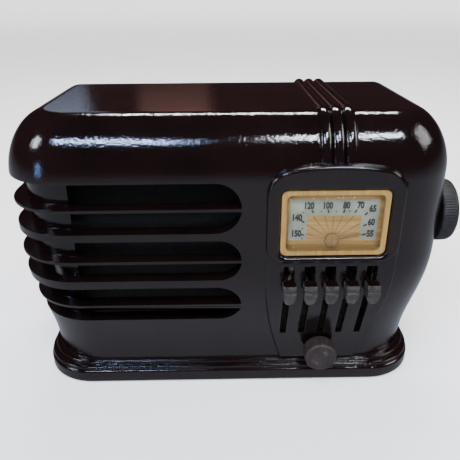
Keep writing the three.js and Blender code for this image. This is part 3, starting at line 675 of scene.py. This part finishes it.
def rib(x):
    path = [(BACK - 0.6, TOP, 0, 1), (100, TOP, 0, 1), (60, TOP, 0, 1)]
    steps = 22
    lowest = 0.14
    for i in range(steps, -1, -1):
        t = lowest + (1 - lowest) * i / steps
        nose_inset, z = bullnose(t, TOP - SHOULDER_Z)
        angle = math.pi / 2 * t
        path.append((BULLNOSE * nose_inset, z, -math.cos(angle), math.sin(angle)))
    rings = []
    for y, z, ny, nz in path:
        ring = [(x - RIB_WIDTH / 2, y - 2 * ny, z - 2 * nz)]
        for i in range(13):
            angle = math.radians(180 - 15 * i)
            lift = RIB_HEIGHT * math.sin(angle)
            ring.append((x + RIB_WIDTH / 2 * math.cos(angle), y + lift * ny, z + lift * nz))
        ring.append((x + RIB_WIDTH / 2, y - 2 * ny, z - 2 * nz))
        rings.append(ring)
    return skin("rib", rings)


def bezel_outline(inset, steps=10):
    """Rounded rectangle whose top edge rises to a crown in the middle."""
    middle = (BEZEL_LEFT + BEZEL_RIGHT) / 2
    half = (BEZEL_RIGHT - BEZEL_LEFT) / 2
    points = rounded_rect(BEZEL_LEFT + inset, BEZEL_RIGHT - inset, BEZEL_BOTTOM + inset, BEZEL_TOP - inset,
                          BEZEL_CORNER - inset, steps)
    right = points[:2 * (steps + 1)]
    left = points[2 * (steps + 1):]
    across = [(right[-1][0] + (left[0][0] - right[-1][0]) * i / 16, BEZEL_TOP - inset) for i in range(1, 16)]
    crowned = []
    for x, z in [*right, *across, *left]:
        share = clamp01((z - BEZEL_BOTTOM - 40) / (BEZEL_TOP - inset - BEZEL_BOTTOM - 40))
        crowned.append((x, z + BEZEL_CROWN * share * (1 - ((x - middle) / half) ** 2)))
    return crowned


def bezel():
    rings = []
    for y, inset in ((4, 0), (-1.4, 0), (-2.3, 0.2), (-3.1, 0.7), (-3.7, 1.5), (-4, 2.6)):
        rings.append([(x, y, z) for x, z in bezel_outline(inset)])
    return skin("bezel", rings)


def shield():
    rings = []
    steps = 30
    top = 150
    for i in range(steps + 1):
        z = WAIST_Z + 0.5 + (top - WAIST_Z - 0.5) * i / steps
        drop = clamp01((TUCK_Z - z) / (TUCK_Z - WAIST_Z))
        half = SHIELD_HALF - SHIELD_TAPER * drop ** 2.2
        y = face_y(z)
        lip = ((half, y + 2), (half, y - SHIELD_PROUD + 0.8), (half - 0.25, y - SHIELD_PROUD + 0.25),
               (half - 0.8, y - SHIELD_PROUD))
        rings.append([(CONTROL_X - h, d, z) for h, d in lip] + [(CONTROL_X + h, d, z) for h,
                                                                d in reversed(lip)])
    return skin("shield", rings)


def window_ring(margin, y, r, steps=8):
    half = WINDOW["width"] / 2 - margin
    tall = WINDOW["height"] / 2 - margin
    points = rounded_rect(CONTROL_X - half, CONTROL_X + half, WINDOW["z"] - tall, WINDOW["z"] + tall, r,
                          steps)
    return [(x, y, z) for x, z in points]


def cabinet():
    shell = skin("cabinet_visual", plinth_rings() + form_rings(0, WAIST_Z, BACK))
    zone = box("zone", -200, LOUVRE_RIGHT + 4, -50, LOUVRE_BACK + 6, 60, 182.3)
    combine(zone, skin("block", form_rings(BLOCK, FLOOR_TOP, BACK + 20, 18)), "DIFFERENCE")
    hollow = skin("hollow", form_rings(WALL, FLOOR_TOP, BACK + 20, 18))
    combine(hollow, zone, "DIFFERENCE")
    combine(shell, hollow, "DIFFERENCE")

    fronts = [prism_y("front", round_end(-200, LOUVRE_RIGHT, low, top), -20, LOUVRE_BACK + 20)
              for low, top, _ in LOUVRES]
    sides = [prism_x("side", round_end(-50, LOUVRE_BACK, low, top), -200, 60) for low, top, _ in LOUVRES]
    recess = join("recess", fronts)
    combine(recess, join("sides", sides), "INTERSECT")
    combine(recess, skin("core", form_rings(RECESS, FLOOR_TOP, BACK + 20, 24)), "DIFFERENCE")
    openings = [prism_y("opening", round_end(LOUVRE_THROUGH, LOUVRE_RIGHT, low, top), 3, CLOTH_Y + 12)
                for low, top, _ in LOUVRES]
    combine(recess, join("openings", openings), "UNION")
    slabs = [box("slab", -210, 60, -30, 130, blade - BLADE / 2, blade + BLADE / 2) for _, _, blade in LOUVRES]
    combine(recess, join("slabs", slabs), "DIFFERENCE")
    combine(shell, recess, "DIFFERENCE")

    combine(shell, join("ribs", [rib(CONTROL_X + k * RIB_PITCH) for k in (-1, 0, 1)]), "UNION")
    combine(shell, shield(), "UNION")
    combine(shell, bezel(), "UNION")

    half = WINDOW["width"] / 2
    tall = WINDOW["height"] / 2
    window = rounded_rect(CONTROL_X - half, CONTROL_X + half, WINDOW["z"] - tall, WINDOW["z"] + tall,
                          WINDOW["corner"])
    cuts = [prism_y("window", window, -20, 30)]
    for x in LEVER_X:
        head = SLOT_HEAD / 2
        narrow = SLOT_WIDTH / 2
        slot = [(x - narrow, SLOT_BOTTOM), (x + narrow, SLOT_BOTTOM), (x + narrow, SLOT_TOP),
                (x + head, SLOT_TOP),
                (x + head, SLOT_HEAD_TOP), (x - head, SLOT_HEAD_TOP), (x - head, SLOT_TOP),
                (x - narrow, SLOT_TOP)]
        cuts.append(prism_y("slot", slot, -20, 36))
    cuts.append(lathe("volume_hole", "y", CONTROL_X, VOLUME_Z, [(4.5, -10), (4.5, 45)], 24))
    cuts.append(lathe("tuning_hole", "x", TUNING_Y, TUNING_Z, [(4.5, 100), (4.5, 200)], 24))
    recess_half = PLINTH_HALF - 6
    cuts.append(skin("under", [outline(recess_half, PLINTH_FRONT + 6, BACK - 6, PLINTH_CORNER - 6, z, 16)
                               for z in (-5, FLOOR_UNDER)]))
    combine(shell, join("cuts", cuts), "DIFFERENCE")
    bead = [(-3.6, -4.6), (-3.6, -4.01)]
    for i in range(1, 9):
        share = i / 8
        bead.append((-3.6 * (1 - share), -4 + 2.5 * (1 - math.sqrt(1 - share * share))))
    bead.append((0.6, -1.5))
    combine(shell, skin("bead", [window_ring(margin, y, WINDOW["corner"] + max(0, -margin)) for margin,
                                 y in bead]),
            "DIFFERENCE")
    tidy(shell)
    bevel(shell, 0.55)
    smooth(shell, 38, form_surface)
    return settle(shell, BAKELITE, "cabinet", ("cabinet_shell",))


cabinet()


# ---- dial ----
DIAL_FACE = WALL + 0.4
OPENING = 4.6      # width of the frame's flange


def escutcheon():
    """Gold frame: rounded outer edge, flat flange, small step down to the lens."""
    profile = [(0.5, WALL + 0.1, 4.5), (0.5, -0.9, 4.5), (0.7, -1.35, 4.4), (1.15, -1.6, 4.1),
               (3.7, -1.6, 3.2),
               (4.2, -1.4, 3.1), (4.5, -1.0, 3.0), (OPENING, -0.6, 3), (1.3, -0.6, 3.8),
               (1.3, WALL + 0.1, 3.8)]
    rings = [window_ring(*row) for row in profile]
    return settle(smooth(skin("dial_frame_gold", rings, True)), GOLD, "cabinet", ("dial_escutcheon",))


def lens():
    profile = [(1.8, 0.5, 3.4), (1.8, -0.3, 3.4), (4.7, -0.3, 3), (4.95, -0.7, 2.9), (5, -1.7, 2.8),
               (5.12, -2.3, 2.7),
               (5.4, -2.7, 2.5), (5.8, -2.92, 2.3), (6.3, -3, 2)]
    rings = [window_ring(*row) for row in profile]
    return settle(smooth(skin("dial_lens_clear", rings)), LENS, "cabinet", ("dial_lens",))


BAND_BOX = {"left": 40, "right": 100.4, "top": 164.1, "bottom": 134.6}
FIELD_BOX = {"left": 52.4, "right": 88.9, "top": 152.6}
SCALE_ANGLES = {"150": 169, "140": 146, "120": 124, "100": 100, "80": 72, "70": 55, "65": 41, "60": 26,
                "55": 9}
END_DOT_ANGLE = 177
DOTTED_GAPS = 5        # the gaps between numerals that carry a dot, from the left
NUMERAL_OUT = 7.1      # how far outside the field's edge the numerals, and the ticks and dots, stand
MARK_OUT = 3.0
NUMERAL_HEIGHT = 4.5
TICK_LENGTH = 2.6
TICK_WIDTH = 1.1
DOT = 0.9


def on_scale(degrees, out):
    """Where a ray from the pointer's hub meets the field's edge moved outward, and the ray's angle."""
    angle = math.radians(degrees)
    edge = FIELD_BOX["right"] + out - CONTROL_X if degrees < 90 else CONTROL_X - FIELD_BOX["left"] + out
    reach = min(edge / abs(math.cos(angle)), (FIELD_BOX["top"] + out - POINTER_Z) / math.sin(angle))
    return CONTROL_X + reach * math.cos(angle), POINTER_Z + reach * math.sin(angle), angle


def stroke(x, z, angle, length, width, y0, y1):
    """Small flat bar centred on a point, along an angle."""
    along = Vector((math.cos(angle), math.sin(angle))) * length / 2
    across = Vector((-math.sin(angle), math.cos(angle))) * width / 2
    corners = [Vector((x, z)) + a * along + b * across for a, b in ((-1, -1), (1, -1), (1, 1), (-1, 1))]
    return prism_y("stroke", [tuple(c) for c in corners], y0, y1)


def numeral(text, x, z, height, y):
    curve = bpy.data.curves.new("numeral", "FONT")
    curve.body = text
    curve.align_x = "CENTER"
    curve.align_y = "CENTER"
    curve.size = height / 0.7
    curve.offset = 0.38
    curve.extrude = 0.05
    curve.resolution_u = 4
    text_object = bpy.data.objects.new("numeral", curve)
    bpy.context.scene.collection.objects.link(text_object)
    bpy.context.view_layer.update()
    mesh = bpy.data.meshes.new_from_object(text_object.evaluated_get(bpy.context.evaluated_depsgraph_get()))
    bpy.data.objects.remove(text_object)
    mesh.transform(Matrix.Translation((x, y, z)) @ Matrix.Rotation(math.pi / 2, 4,
                                                                   "X") @ Matrix.Diagonal((0.72, 1, 1, 1)))
    piece = bpy.data.objects.new("numeral", mesh)
    bpy.context.scene.collection.objects.link(piece)
    return piece


def dial():
    board = skin("dial_board", [window_ring(-5, DIAL_FACE + 1.2, 3), window_ring(-5, DIAL_FACE + 0.1, 3),
                                window_ring(-4.8, DIAL_FACE, 3)])
    settle(smooth(board), DIAL_BOARD, "cabinet", ("dial_scale",))
    b = BAND_BOX
    f = FIELD_BOX
    band_shape = [(b["left"], b["bottom"]), (f["left"], b["bottom"]), (f["left"], f["top"]),
                  (f["right"], f["top"]),
                  (f["right"], b["bottom"]), (b["right"], b["bottom"]), (b["right"], b["top"]),
                  (b["left"], b["top"])]
    band = prism_y("dial_band_silver", band_shape, DIAL_FACE - 0.12, DIAL_FACE - 0.02)
    settle(band, BAND, "cabinet", ())
    ink_y = DIAL_FACE - 0.2
    angles = list(SCALE_ANGLES.values())
    dots = [(here + there) / 2 for here, there in zip(angles, angles[1:DOTTED_GAPS + 1])] + [END_DOT_ANGLE]
    marks = []
    for text, degrees in SCALE_ANGLES.items():
        x, z, angle = on_scale(degrees, NUMERAL_OUT)
        marks.append(numeral(text, x, z, NUMERAL_HEIGHT, ink_y))
    for places, length, width in ((angles, TICK_LENGTH, TICK_WIDTH), (dots, DOT, DOT)):
        for degrees in places:
            x, z, angle = on_scale(degrees, MARK_OUT)
            marks.append(stroke(x, z, angle, length, width, ink_y - 0.04, ink_y + 0.05))
    settle(join("dial_numerals", marks), INK, "cabinet", ())
    rays = []
    count = 9
    for i in range(count):
        angle = math.radians(14 + 152 * i / (count - 1))
        reach = min((f["top"] - POINTER_Z - 0.8) / math.sin(angle),
                    (f["right"] - CONTROL_X - 0.8) / abs(math.cos(angle)))
        start = 6.5
        middle = (start + reach) / 2
        centre = Vector((CONTROL_X + middle * math.cos(angle), POINTER_Z + middle * math.sin(angle)))
        along = Vector((math.cos(angle), math.sin(angle)))
        across = Vector((-math.sin(angle), math.cos(angle)))
        length = (reach - start) / 2
        corners = [centre - along * length - across * 0.15, centre + along * length - across * 0.55,
                   centre + along * length + across * 0.55, centre - along * length + across * 0.15]
        rays.append(prism_y("ray", [tuple(c) for c in corners], DIAL_FACE - 0.07, DIAL_FACE - 0.01))
    settle(join("dial_rays", rays), RAY, "cabinet", ())


def pointer():
    hub = lathe("hub", "y", CONTROL_X, POINTER_Z, [
        (0, 2.1), (1.5, 2.1), (3.0, 2.2), (3.4, 2.5), (3.9, 2.5), (4.2, 2.15), (4.8, 2.2), (5.2, 2.6),
        (5.2, 4.0),
        (2.3, 4.0), (2.3, 3.2), (0, 3.2)], 48)
    settle(smooth(hub, 30), GOLD, "pointer", ())
    angle = math.radians(13)
    along = Vector((math.cos(angle), 0, math.sin(angle)))
    across = Vector((-math.sin(angle), 0, math.cos(angle)))
    rings = []
    for reach, width, thick in ((0, 0.8, 0.35), (20, 0.6, 0.3), (28.6, 0.35, 0.25), (29, 0.2, 0.2)):
        centre = Vector((CONTROL_X, 2.7, POINTER_Z)) + along * reach
        ring = []
        for i in range(8):
            turn_angle = 2 * math.pi * i / 8
            ring.append(tuple(centre + across * width * 0.6 * math.cos(turn_angle)
                              + Vector((0, 1, 0)) * thick * math.sin(turn_angle)))
        rings.append(ring)
    settle(smooth(skin("dial_needle", rings), 60), NEEDLE, "pointer", ("dial_pointer",))


# ---- levers and knobs ----
def cap(index, x):
    """Moulded press cap: flat top, a crisp ridge a third of the way down, narrowing to a round tip."""
    half = CAP_WIDTH / 2
    top = CAP_Z + CAP_LENGTH / 2
    rows = [(0, 0.86, -10.0, -2.9), (0.02, 0.94, -10.6, -2.4), (0.05, 0.99, -10.9, -2.2),
            (0.15, 1.0, -11.2, -1.8),
            (0.27, 1.0, -11.5, -1.6), (0.275, 1.0, -11.55, -1.6), (0.29, 1.0, -12.3, -1.6),
            (0.3, 1.0, -12.5, -1.6),
            (0.32, 1.0, -12.5, -1.6), (0.42, 1.0, -12.0, -1.5), (0.55, 0.99, -11.3, -1.4),
            (0.68, 0.92, -10.9, -1.4), (0.8, 0.78, -10.4, -1.5), (0.89, 0.6, -9.8, -1.8),
            (0.95, 0.42, -9.2, -2.1), (0.985, 0.26, -8.5, -2.5), (1, 0.12, -7.6, -3.2)]
    rings = []
    for k, w, front, rear in rows:
        z = top - CAP_LENGTH * k
        side = half * w
        ring = [(x - side + 0.4, rear, z), (x - side, rear - 0.4, z), (x - side, front + 0.9, z),
                (x - side * 0.965, front + 0.4, z), (x - side * 0.9, front + 0.1, z),
                (x - side * 0.82, front, z)]
        ring += [(2 * x - px, py, pz) for px, py, pz in reversed(ring)]
        rings.append(ring)
    piece = skin(f"lever_cap_moulded_{index}", rings[::-1])
    smooth(piece, 28)
    settle(piece, CAP, f"lever_{index}", (f"lever_cap_{index}",))
    # Upward-facing top faces take the darker, glossier bakelite finish. The higher gloss is real; the darker
    # colour is painted shade for the dark top face.
    piece.data.materials.append(BAKELITE)
    for polygon in piece.data.polygons:
        if polygon.normal.z > 0.6 and polygon.center.z > ORIGIN.z + (top - 1) / 1000:
            polygon.material_index = 1
    return piece


def volume_knob():
    """Flat-faced knob with a fluted skirt and a low raised ring round its face."""
    flutes = 40

    def wobble(angle, k):
        return 1 - 0.028 * (0.5 + 0.5 * math.cos(angle * flutes)) ** 3 if 5 <= k <= 9 else 1
    profile = [(0, 5.25), (6, 5.25), (9.4, 5.2), (9.9, 5.0), (10.9, 5.0), (11.5, 5.25), (12.1, 5.9),
               (12.4, 7.5),
               (12.5, 12), (12.45, 16.2), (11.9, 17.4), (11, 18), (3.3, 18), (3.3, 9), (0, 9)]
    piece = lathe("volume_knob_fluted", "y", CONTROL_X, VOLUME_Z, profile, flutes * 6, wobble)
    return settle(smooth(piece, 40), BROWN, "volume", ("volume_knob",))


def tuning_knob():
    """Large drum knob: finely fluted rim, a raised ring and a dished outer face."""
    flutes = 72
    near = HALF_WIDTH + 2.5
    far = HALF_WIDTH + 15.5

    def wobble(angle, k):
        return 1 - 0.012 * (0.5 + 0.5 * math.cos(angle * flutes)) ** 2 if 3 <= k <= 5 else 1
    r = TUNING_RADIUS
    profile = [(3.3, near), (r - 1.6, near), (r - 0.8, near + 0.4), (r, near + 1.7), (r, near + 6),
               (r - 0.3, far - 3.2), (r - 1.1, far - 1.6), (r - 2.6, far - 0.5), (r - 4.4, far),
               (r - 6.5, far),
               (r - 7.4, far - 0.6), (r - 8.2, far - 1.2),
               (12, far - 1.4), (5, far - 1.5), (0, far - 1.5), (0, HALF_WIDTH + 13.2),
               (3.3, HALF_WIDTH + 13.2), (3.3, near)]
    piece = lathe("tuning_knob_drum", "x", TUNING_Y, TUNING_Z, profile, flutes * 4, wobble)
    return settle(smooth(piece, 40), CHARCOAL, "tuning", ("tuning_knob",))


# ---- speaker cloth ----
def grille():
    """Woven sheet: threads pass over and under each other in a stretched plane."""
    left, right, bottom, top = (GRILLE[side] for side in ("left", "right", "bottom", "top"))
    pitch = GRILLE["pitch"]
    step = pitch / 4
    columns = int((right - left) / step)
    rows = int((top - bottom) / step)
    vertices = []
    for j in range(rows + 1):
        for i in range(columns + 1):
            u = i * step
            v = j * step
            over = math.sin(math.pi * u / pitch) * math.sin(math.pi * v / pitch)
            ridge = abs(math.cos(math.pi * u / pitch)) * 0.12 + abs(math.cos(math.pi * v / pitch)) * 0.12
            vertices.append((left + u, CLOTH_Y + 0.5 - 0.18 * over - ridge, bottom + v))
    faces = []
    for j in range(rows):
        for i in range(columns):
            a = j * (columns + 1) + i
            faces.append((a, a + 1, a + columns + 2, a + columns + 1))
    piece = new_object("grille_weave", vertices, faces, False)
    piece.data.shade_smooth()
    settle(piece, CLOTH, "cabinet", ("grille_cloth",))
    return piece


# ---- back cover screws and works ----
def cover_screw(index, x, z):
    head = COVER_Y + 2.3
    piece = lathe(f"cover_screw_slotted_{index}", "y", x, z, [
        (0, 123), (1.5, 123), (1.5, head), (3.4, head), (3.35, head + 0.5), (3.0, head + 1.1),
        (2.2, head + 1.6),
        (1.0, head + 1.85), (0, head + 1.9)], 32)
    combine(piece, box("slot", x - 4, x + 4, head + 0.9, head + 3, z - 0.4, z + 0.4), "DIFFERENCE")
    return settle(smooth(piece, 35), PLATED, "cabinet", (f"back_cover_screw_{index}",))


def radio_tube(index, x):
    """Glass envelope with a domed top, on a moulded base."""
    base = CHASSIS_TOP + 0.3
    y = TUBE_Y
    foot = lathe(f"tube_socket_{index}", "z", x, y, [
        (0, base), (15, base), (15, base + 2), (14, base + 2.6), (14, base + 13), (13.5, base + 15),
        (12.6, base + 16),
        (0, base + 16)], 40)
    settle(smooth(foot, 30), TUBE_BASE, "cabinet", ())
    bulb = [(0, base + 16.1), (12.3, base + 16.1)]
    for i in range(13):
        t = i / 12
        radius = 12.6 + 1.6 * math.sin(math.pi * min(1, t * 1.25)) - 4.6 * t * t
        bulb.append((radius, base + 17 + 41 * t))
    for i in range(1, 7):
        angle = math.radians(15 * i)
        bulb.append((8.0 * math.cos(angle) * 1.18, base + 58 + 8 * math.sin(angle)))
    piece = lathe(f"tube_bulb_{index}", "z", x, y, bulb, 40)
    settle(smooth(piece, 50), TUBE_GLASS, "cabinet", (f"tube_{index}",))


escutcheon()
lens()
dial()
pointer()
for number, place_x in enumerate(LEVER_X, 1):
    cap(number, place_x)
volume_knob()
tuning_knob()
grille()
for number, (screw_x, screw_z) in enumerate([(side * SCREW_X, z) for z in SCREW_HEIGHTS for side in (-1, 1)],
                                            1):
    cover_screw(number, screw_x, screw_z)
for number in range(1, TUBE_COUNT + 1):
    radio_tube(number, TUBE_LEFT + TUBE_PITCH * (number - 1))


def smooth_by_angle():
    """Geometry nodes that shade a node's flat facets as one curved face, keeping its edges crisp."""
    group = bpy.data.node_groups.new("smooth_by_angle", "GeometryNodeTree")
    group.interface.new_socket("Geometry", in_out="INPUT", socket_type="NodeSocketGeometry")
    group.interface.new_socket("Geometry", in_out="OUTPUT", socket_type="NodeSocketGeometry")
    entry = group.nodes.new("NodeGroupInput")
    leave = group.nodes.new("NodeGroupOutput")
    edge = group.nodes.new("GeometryNodeInputMeshEdgeAngle")
    compare = group.nodes.new("FunctionNodeCompare")
    compare.data_type = "FLOAT"
    compare.operation = "LESS_THAN"
    compare.inputs[1].default_value = math.radians(36)
    faces = group.nodes.new("GeometryNodeSetShadeSmooth")
    faces.domain = "FACE"
    edges = group.nodes.new("GeometryNodeSetShadeSmooth")
    edges.domain = "EDGE"
    group.links.new(edge.outputs["Unsigned Angle"], compare.inputs[0])
    group.links.new(entry.outputs[0], faces.inputs["Geometry"])
    group.links.new(faces.outputs[0], edges.inputs["Geometry"])
    group.links.new(compare.outputs[0], edges.inputs["Shade Smooth"])
    group.links.new(edges.outputs[0], leave.inputs[0])
    return group


SMOOTHING = smooth_by_angle()
CAD_FINISHES = {
    "back_cover": BOARD, "speaker_baffle": BOARD, "cord_grommet": RUBBER, "foot_": RUBBER,
    "baffle_nut_": STEEL,
    "speaker_frame": GREY_ENAMEL, "speaker_cone": PAPER, "speaker_magnet": GREY_ENAMEL,
    "chassis_bolt_": PLATED,
    "chassis": PLATED, "tuning_capacitor_frame": PLATED, "tuning_capacitor_stator": ALUMINIUM,
    "tuning_capacitor_rotor": ALUMINIUM, "tuning_shaft": STEEL, "tuning_bevel_gear": BRASS,
    "pointer_bevel_gear": BRASS, "pointer_shaft": STEEL, "lever_frame": PLATED, "lever_pivot_rod": STEEL,
    "lever_arm_": ARM_STEEL, "volume_control": PLATED, "volume_shaft": STEEL, "transformer_can": ALUMINIUM,
    "output_transformer": GREY_ENAMEL,
}
for node_name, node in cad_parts.items():
    key = max((k for k in CAD_FINISHES if node_name.startswith(k)), key=len, default=None)
    if key is None:
        continue
    node.data.materials.clear()
    node.data.materials.append(CAD_FINISHES[key])
    edges_modifier = node.modifiers.new("edges", "BEVEL")
    edges_modifier.width = 0.00025
    edges_modifier.segments = 2
    edges_modifier.limit_method = "ANGLE"
    edges_modifier.angle_limit = math.radians(40)
    shading = node.modifiers.new("shading", "NODES")
    shading.node_group = SMOOTHING

# ---- camera, light and floor ----
camera_data = bpy.data.cameras.new("camera")
camera_data.sensor_width = SENSOR
camera_data.lens = SENSOR * LENS_SHARE
camera_data.clip_start = 0.01
camera = bpy.data.objects.new("camera", camera_data)
pitch = math.radians(CAMERA_PITCH)
yaw = math.radians(CAMERA_YAW)
roll = math.radians(CAMERA_ROLL)
forward = Vector((math.sin(yaw) * math.cos(pitch), math.cos(yaw) * math.cos(pitch), -math.sin(pitch)))
level_right = Vector((math.cos(yaw), -math.sin(yaw), 0))
level_up = level_right.cross(forward)
right = math.cos(roll) * level_right + math.sin(roll) * level_up
up = -math.sin(roll) * level_right + math.cos(roll) * level_up
turn = Matrix((right, up, -forward)).transposed()
eye = TO_FRAME @ Vector(CAMERA_PLACE)
camera.matrix_world = Matrix.Translation(eye) @ turn.to_4x4()
bpy.context.scene.collection.objects.link(camera)
bpy.context.scene.camera = camera

world = bpy.data.worlds.new("studio")
bpy.context.scene.world = world
world.use_nodes = True
sky = world.node_tree.nodes["Background"]
sky.inputs["Strength"].default_value = 1.0
direction = world.node_tree.nodes.new("ShaderNodeTexCoord")
height = world.node_tree.nodes.new("ShaderNodeSeparateXYZ")
shade = world.node_tree.nodes.new("ShaderNodeValToRGB")
shade.color_ramp.elements[0].position = 0.36
shade.color_ramp.elements[0].color = (0.40, 0.43, 0.50, 1)
shade.color_ramp.elements[1].position = 0.52
shade.color_ramp.elements[1].color = (0.040, 0.020, 0.020, 1)
rise = world.node_tree.nodes.new("ShaderNodeMapRange")
rise.inputs["From Min"].default_value = -1
world.node_tree.links.new(direction.outputs["Generated"], height.inputs[0])
world.node_tree.links.new(height.outputs["Z"], rise.inputs["Value"])
world.node_tree.links.new(rise.outputs["Result"], shade.inputs["Fac"])
world.node_tree.links.new(shade.outputs["Color"], sky.inputs["Color"])


def area_light(name, place, target, width, height, power, colour=(1, 1, 1)):
    data = bpy.data.lights.new(name, "AREA")
    data.shape = "RECTANGLE"
    data.size = width
    data.size_y = height
    data.energy = power
    data.color = colour
    lamp = bpy.data.objects.new(name, data)
    aim = (Vector(target) - Vector(place)).to_track_quat("-Z", "Y")
    lamp.matrix_world = Matrix.Translation(place) @ aim.to_matrix().to_4x4()
    bpy.context.scene.collection.objects.link(lamp)
    return lamp


area_light("strip_back", (0.1, 0.75, 1.55), (0, 0, 0.15), 1.1, 0.05, 26, (1, 0.97, 0.95))
area_light("strip_front", (-0.45, -1.05, 1.3), (-0.1, 0, 0.15), 0.55, 0.05, 15, (0.45, 0.62, 1))
area_light("strip_right", (0.45, -0.95, 1.35), (0.07, 0, 0.15), 0.55, 0.05, 15, (0.82, 0.9, 1))
area_light("left_card", (-0.95, -0.35, 0.75), (0, 0, 0.15), 0.2, 0.25, 3.0, (0.85, 0.92, 1))
area_light("left_blue", (-1.0, -0.75, 0.25), (0, 0, 0.12), 0.2, 0.3, 1.2, (0.25, 0.5, 1))
area_light("right_card", (1.1, -0.2, 0.8), (0, 0, 0.1), 0.5, 0.5, 4)
area_light("far_card_blue", (-0.62, 1.6, 0.95), (0, 0, 0.2), 0.22, 0.9, 0.55, (0.6, 0.72, 1))
area_light("far_card_warm", (-0.2, 1.7, 1.0), (0, 0, 0.2), 0.3, 0.9, 0.35, (1, 0.5, 0.45))

sun_data = bpy.data.lights.new("sky", "SUN")
sun_data.energy = 6.0
sun_data.angle = math.radians(55)
sun = bpy.data.objects.new("sky", sun_data)
sun.rotation_euler = (math.radians(36), math.radians(-12), 0)
sun.visible_glossy = False
bpy.context.scene.collection.objects.link(sun)

floor_material = two_tone("floor", (0.87, 0.87, 0.87), (0.90, 0.90, 0.90), 3, (0.55, 0.7))
sweep = []
for radius, level in ((5, 0), (6, 0.12), (6.7, 0.55), (7, 1.3), (7.05, 2.2), (7.05, 4)):
    turns = [2 * math.pi * i / FLOOR_SIDES for i in range(FLOOR_SIDES)]
    sweep.append([(radius * math.cos(turn), radius * math.sin(turn), level) for turn in turns])
floor_faces = [tuple(range(FLOOR_SIDES))]
for step in range(len(sweep) - 1):
    inner = step * FLOOR_SIDES
    outer = inner + FLOOR_SIDES
    for i in range(FLOOR_SIDES):
        after = (i + 1) % FLOOR_SIDES
        floor_faces.append((inner + i, outer + i, outer + after, inner + after))
floor = new_object("floor", [point for row in sweep for point in row], floor_faces, False)
floor.data.shade_smooth()
floor.data.polygons[0].use_smooth = False
floor.data.materials.append(floor_material)
floor.visible_glossy = False
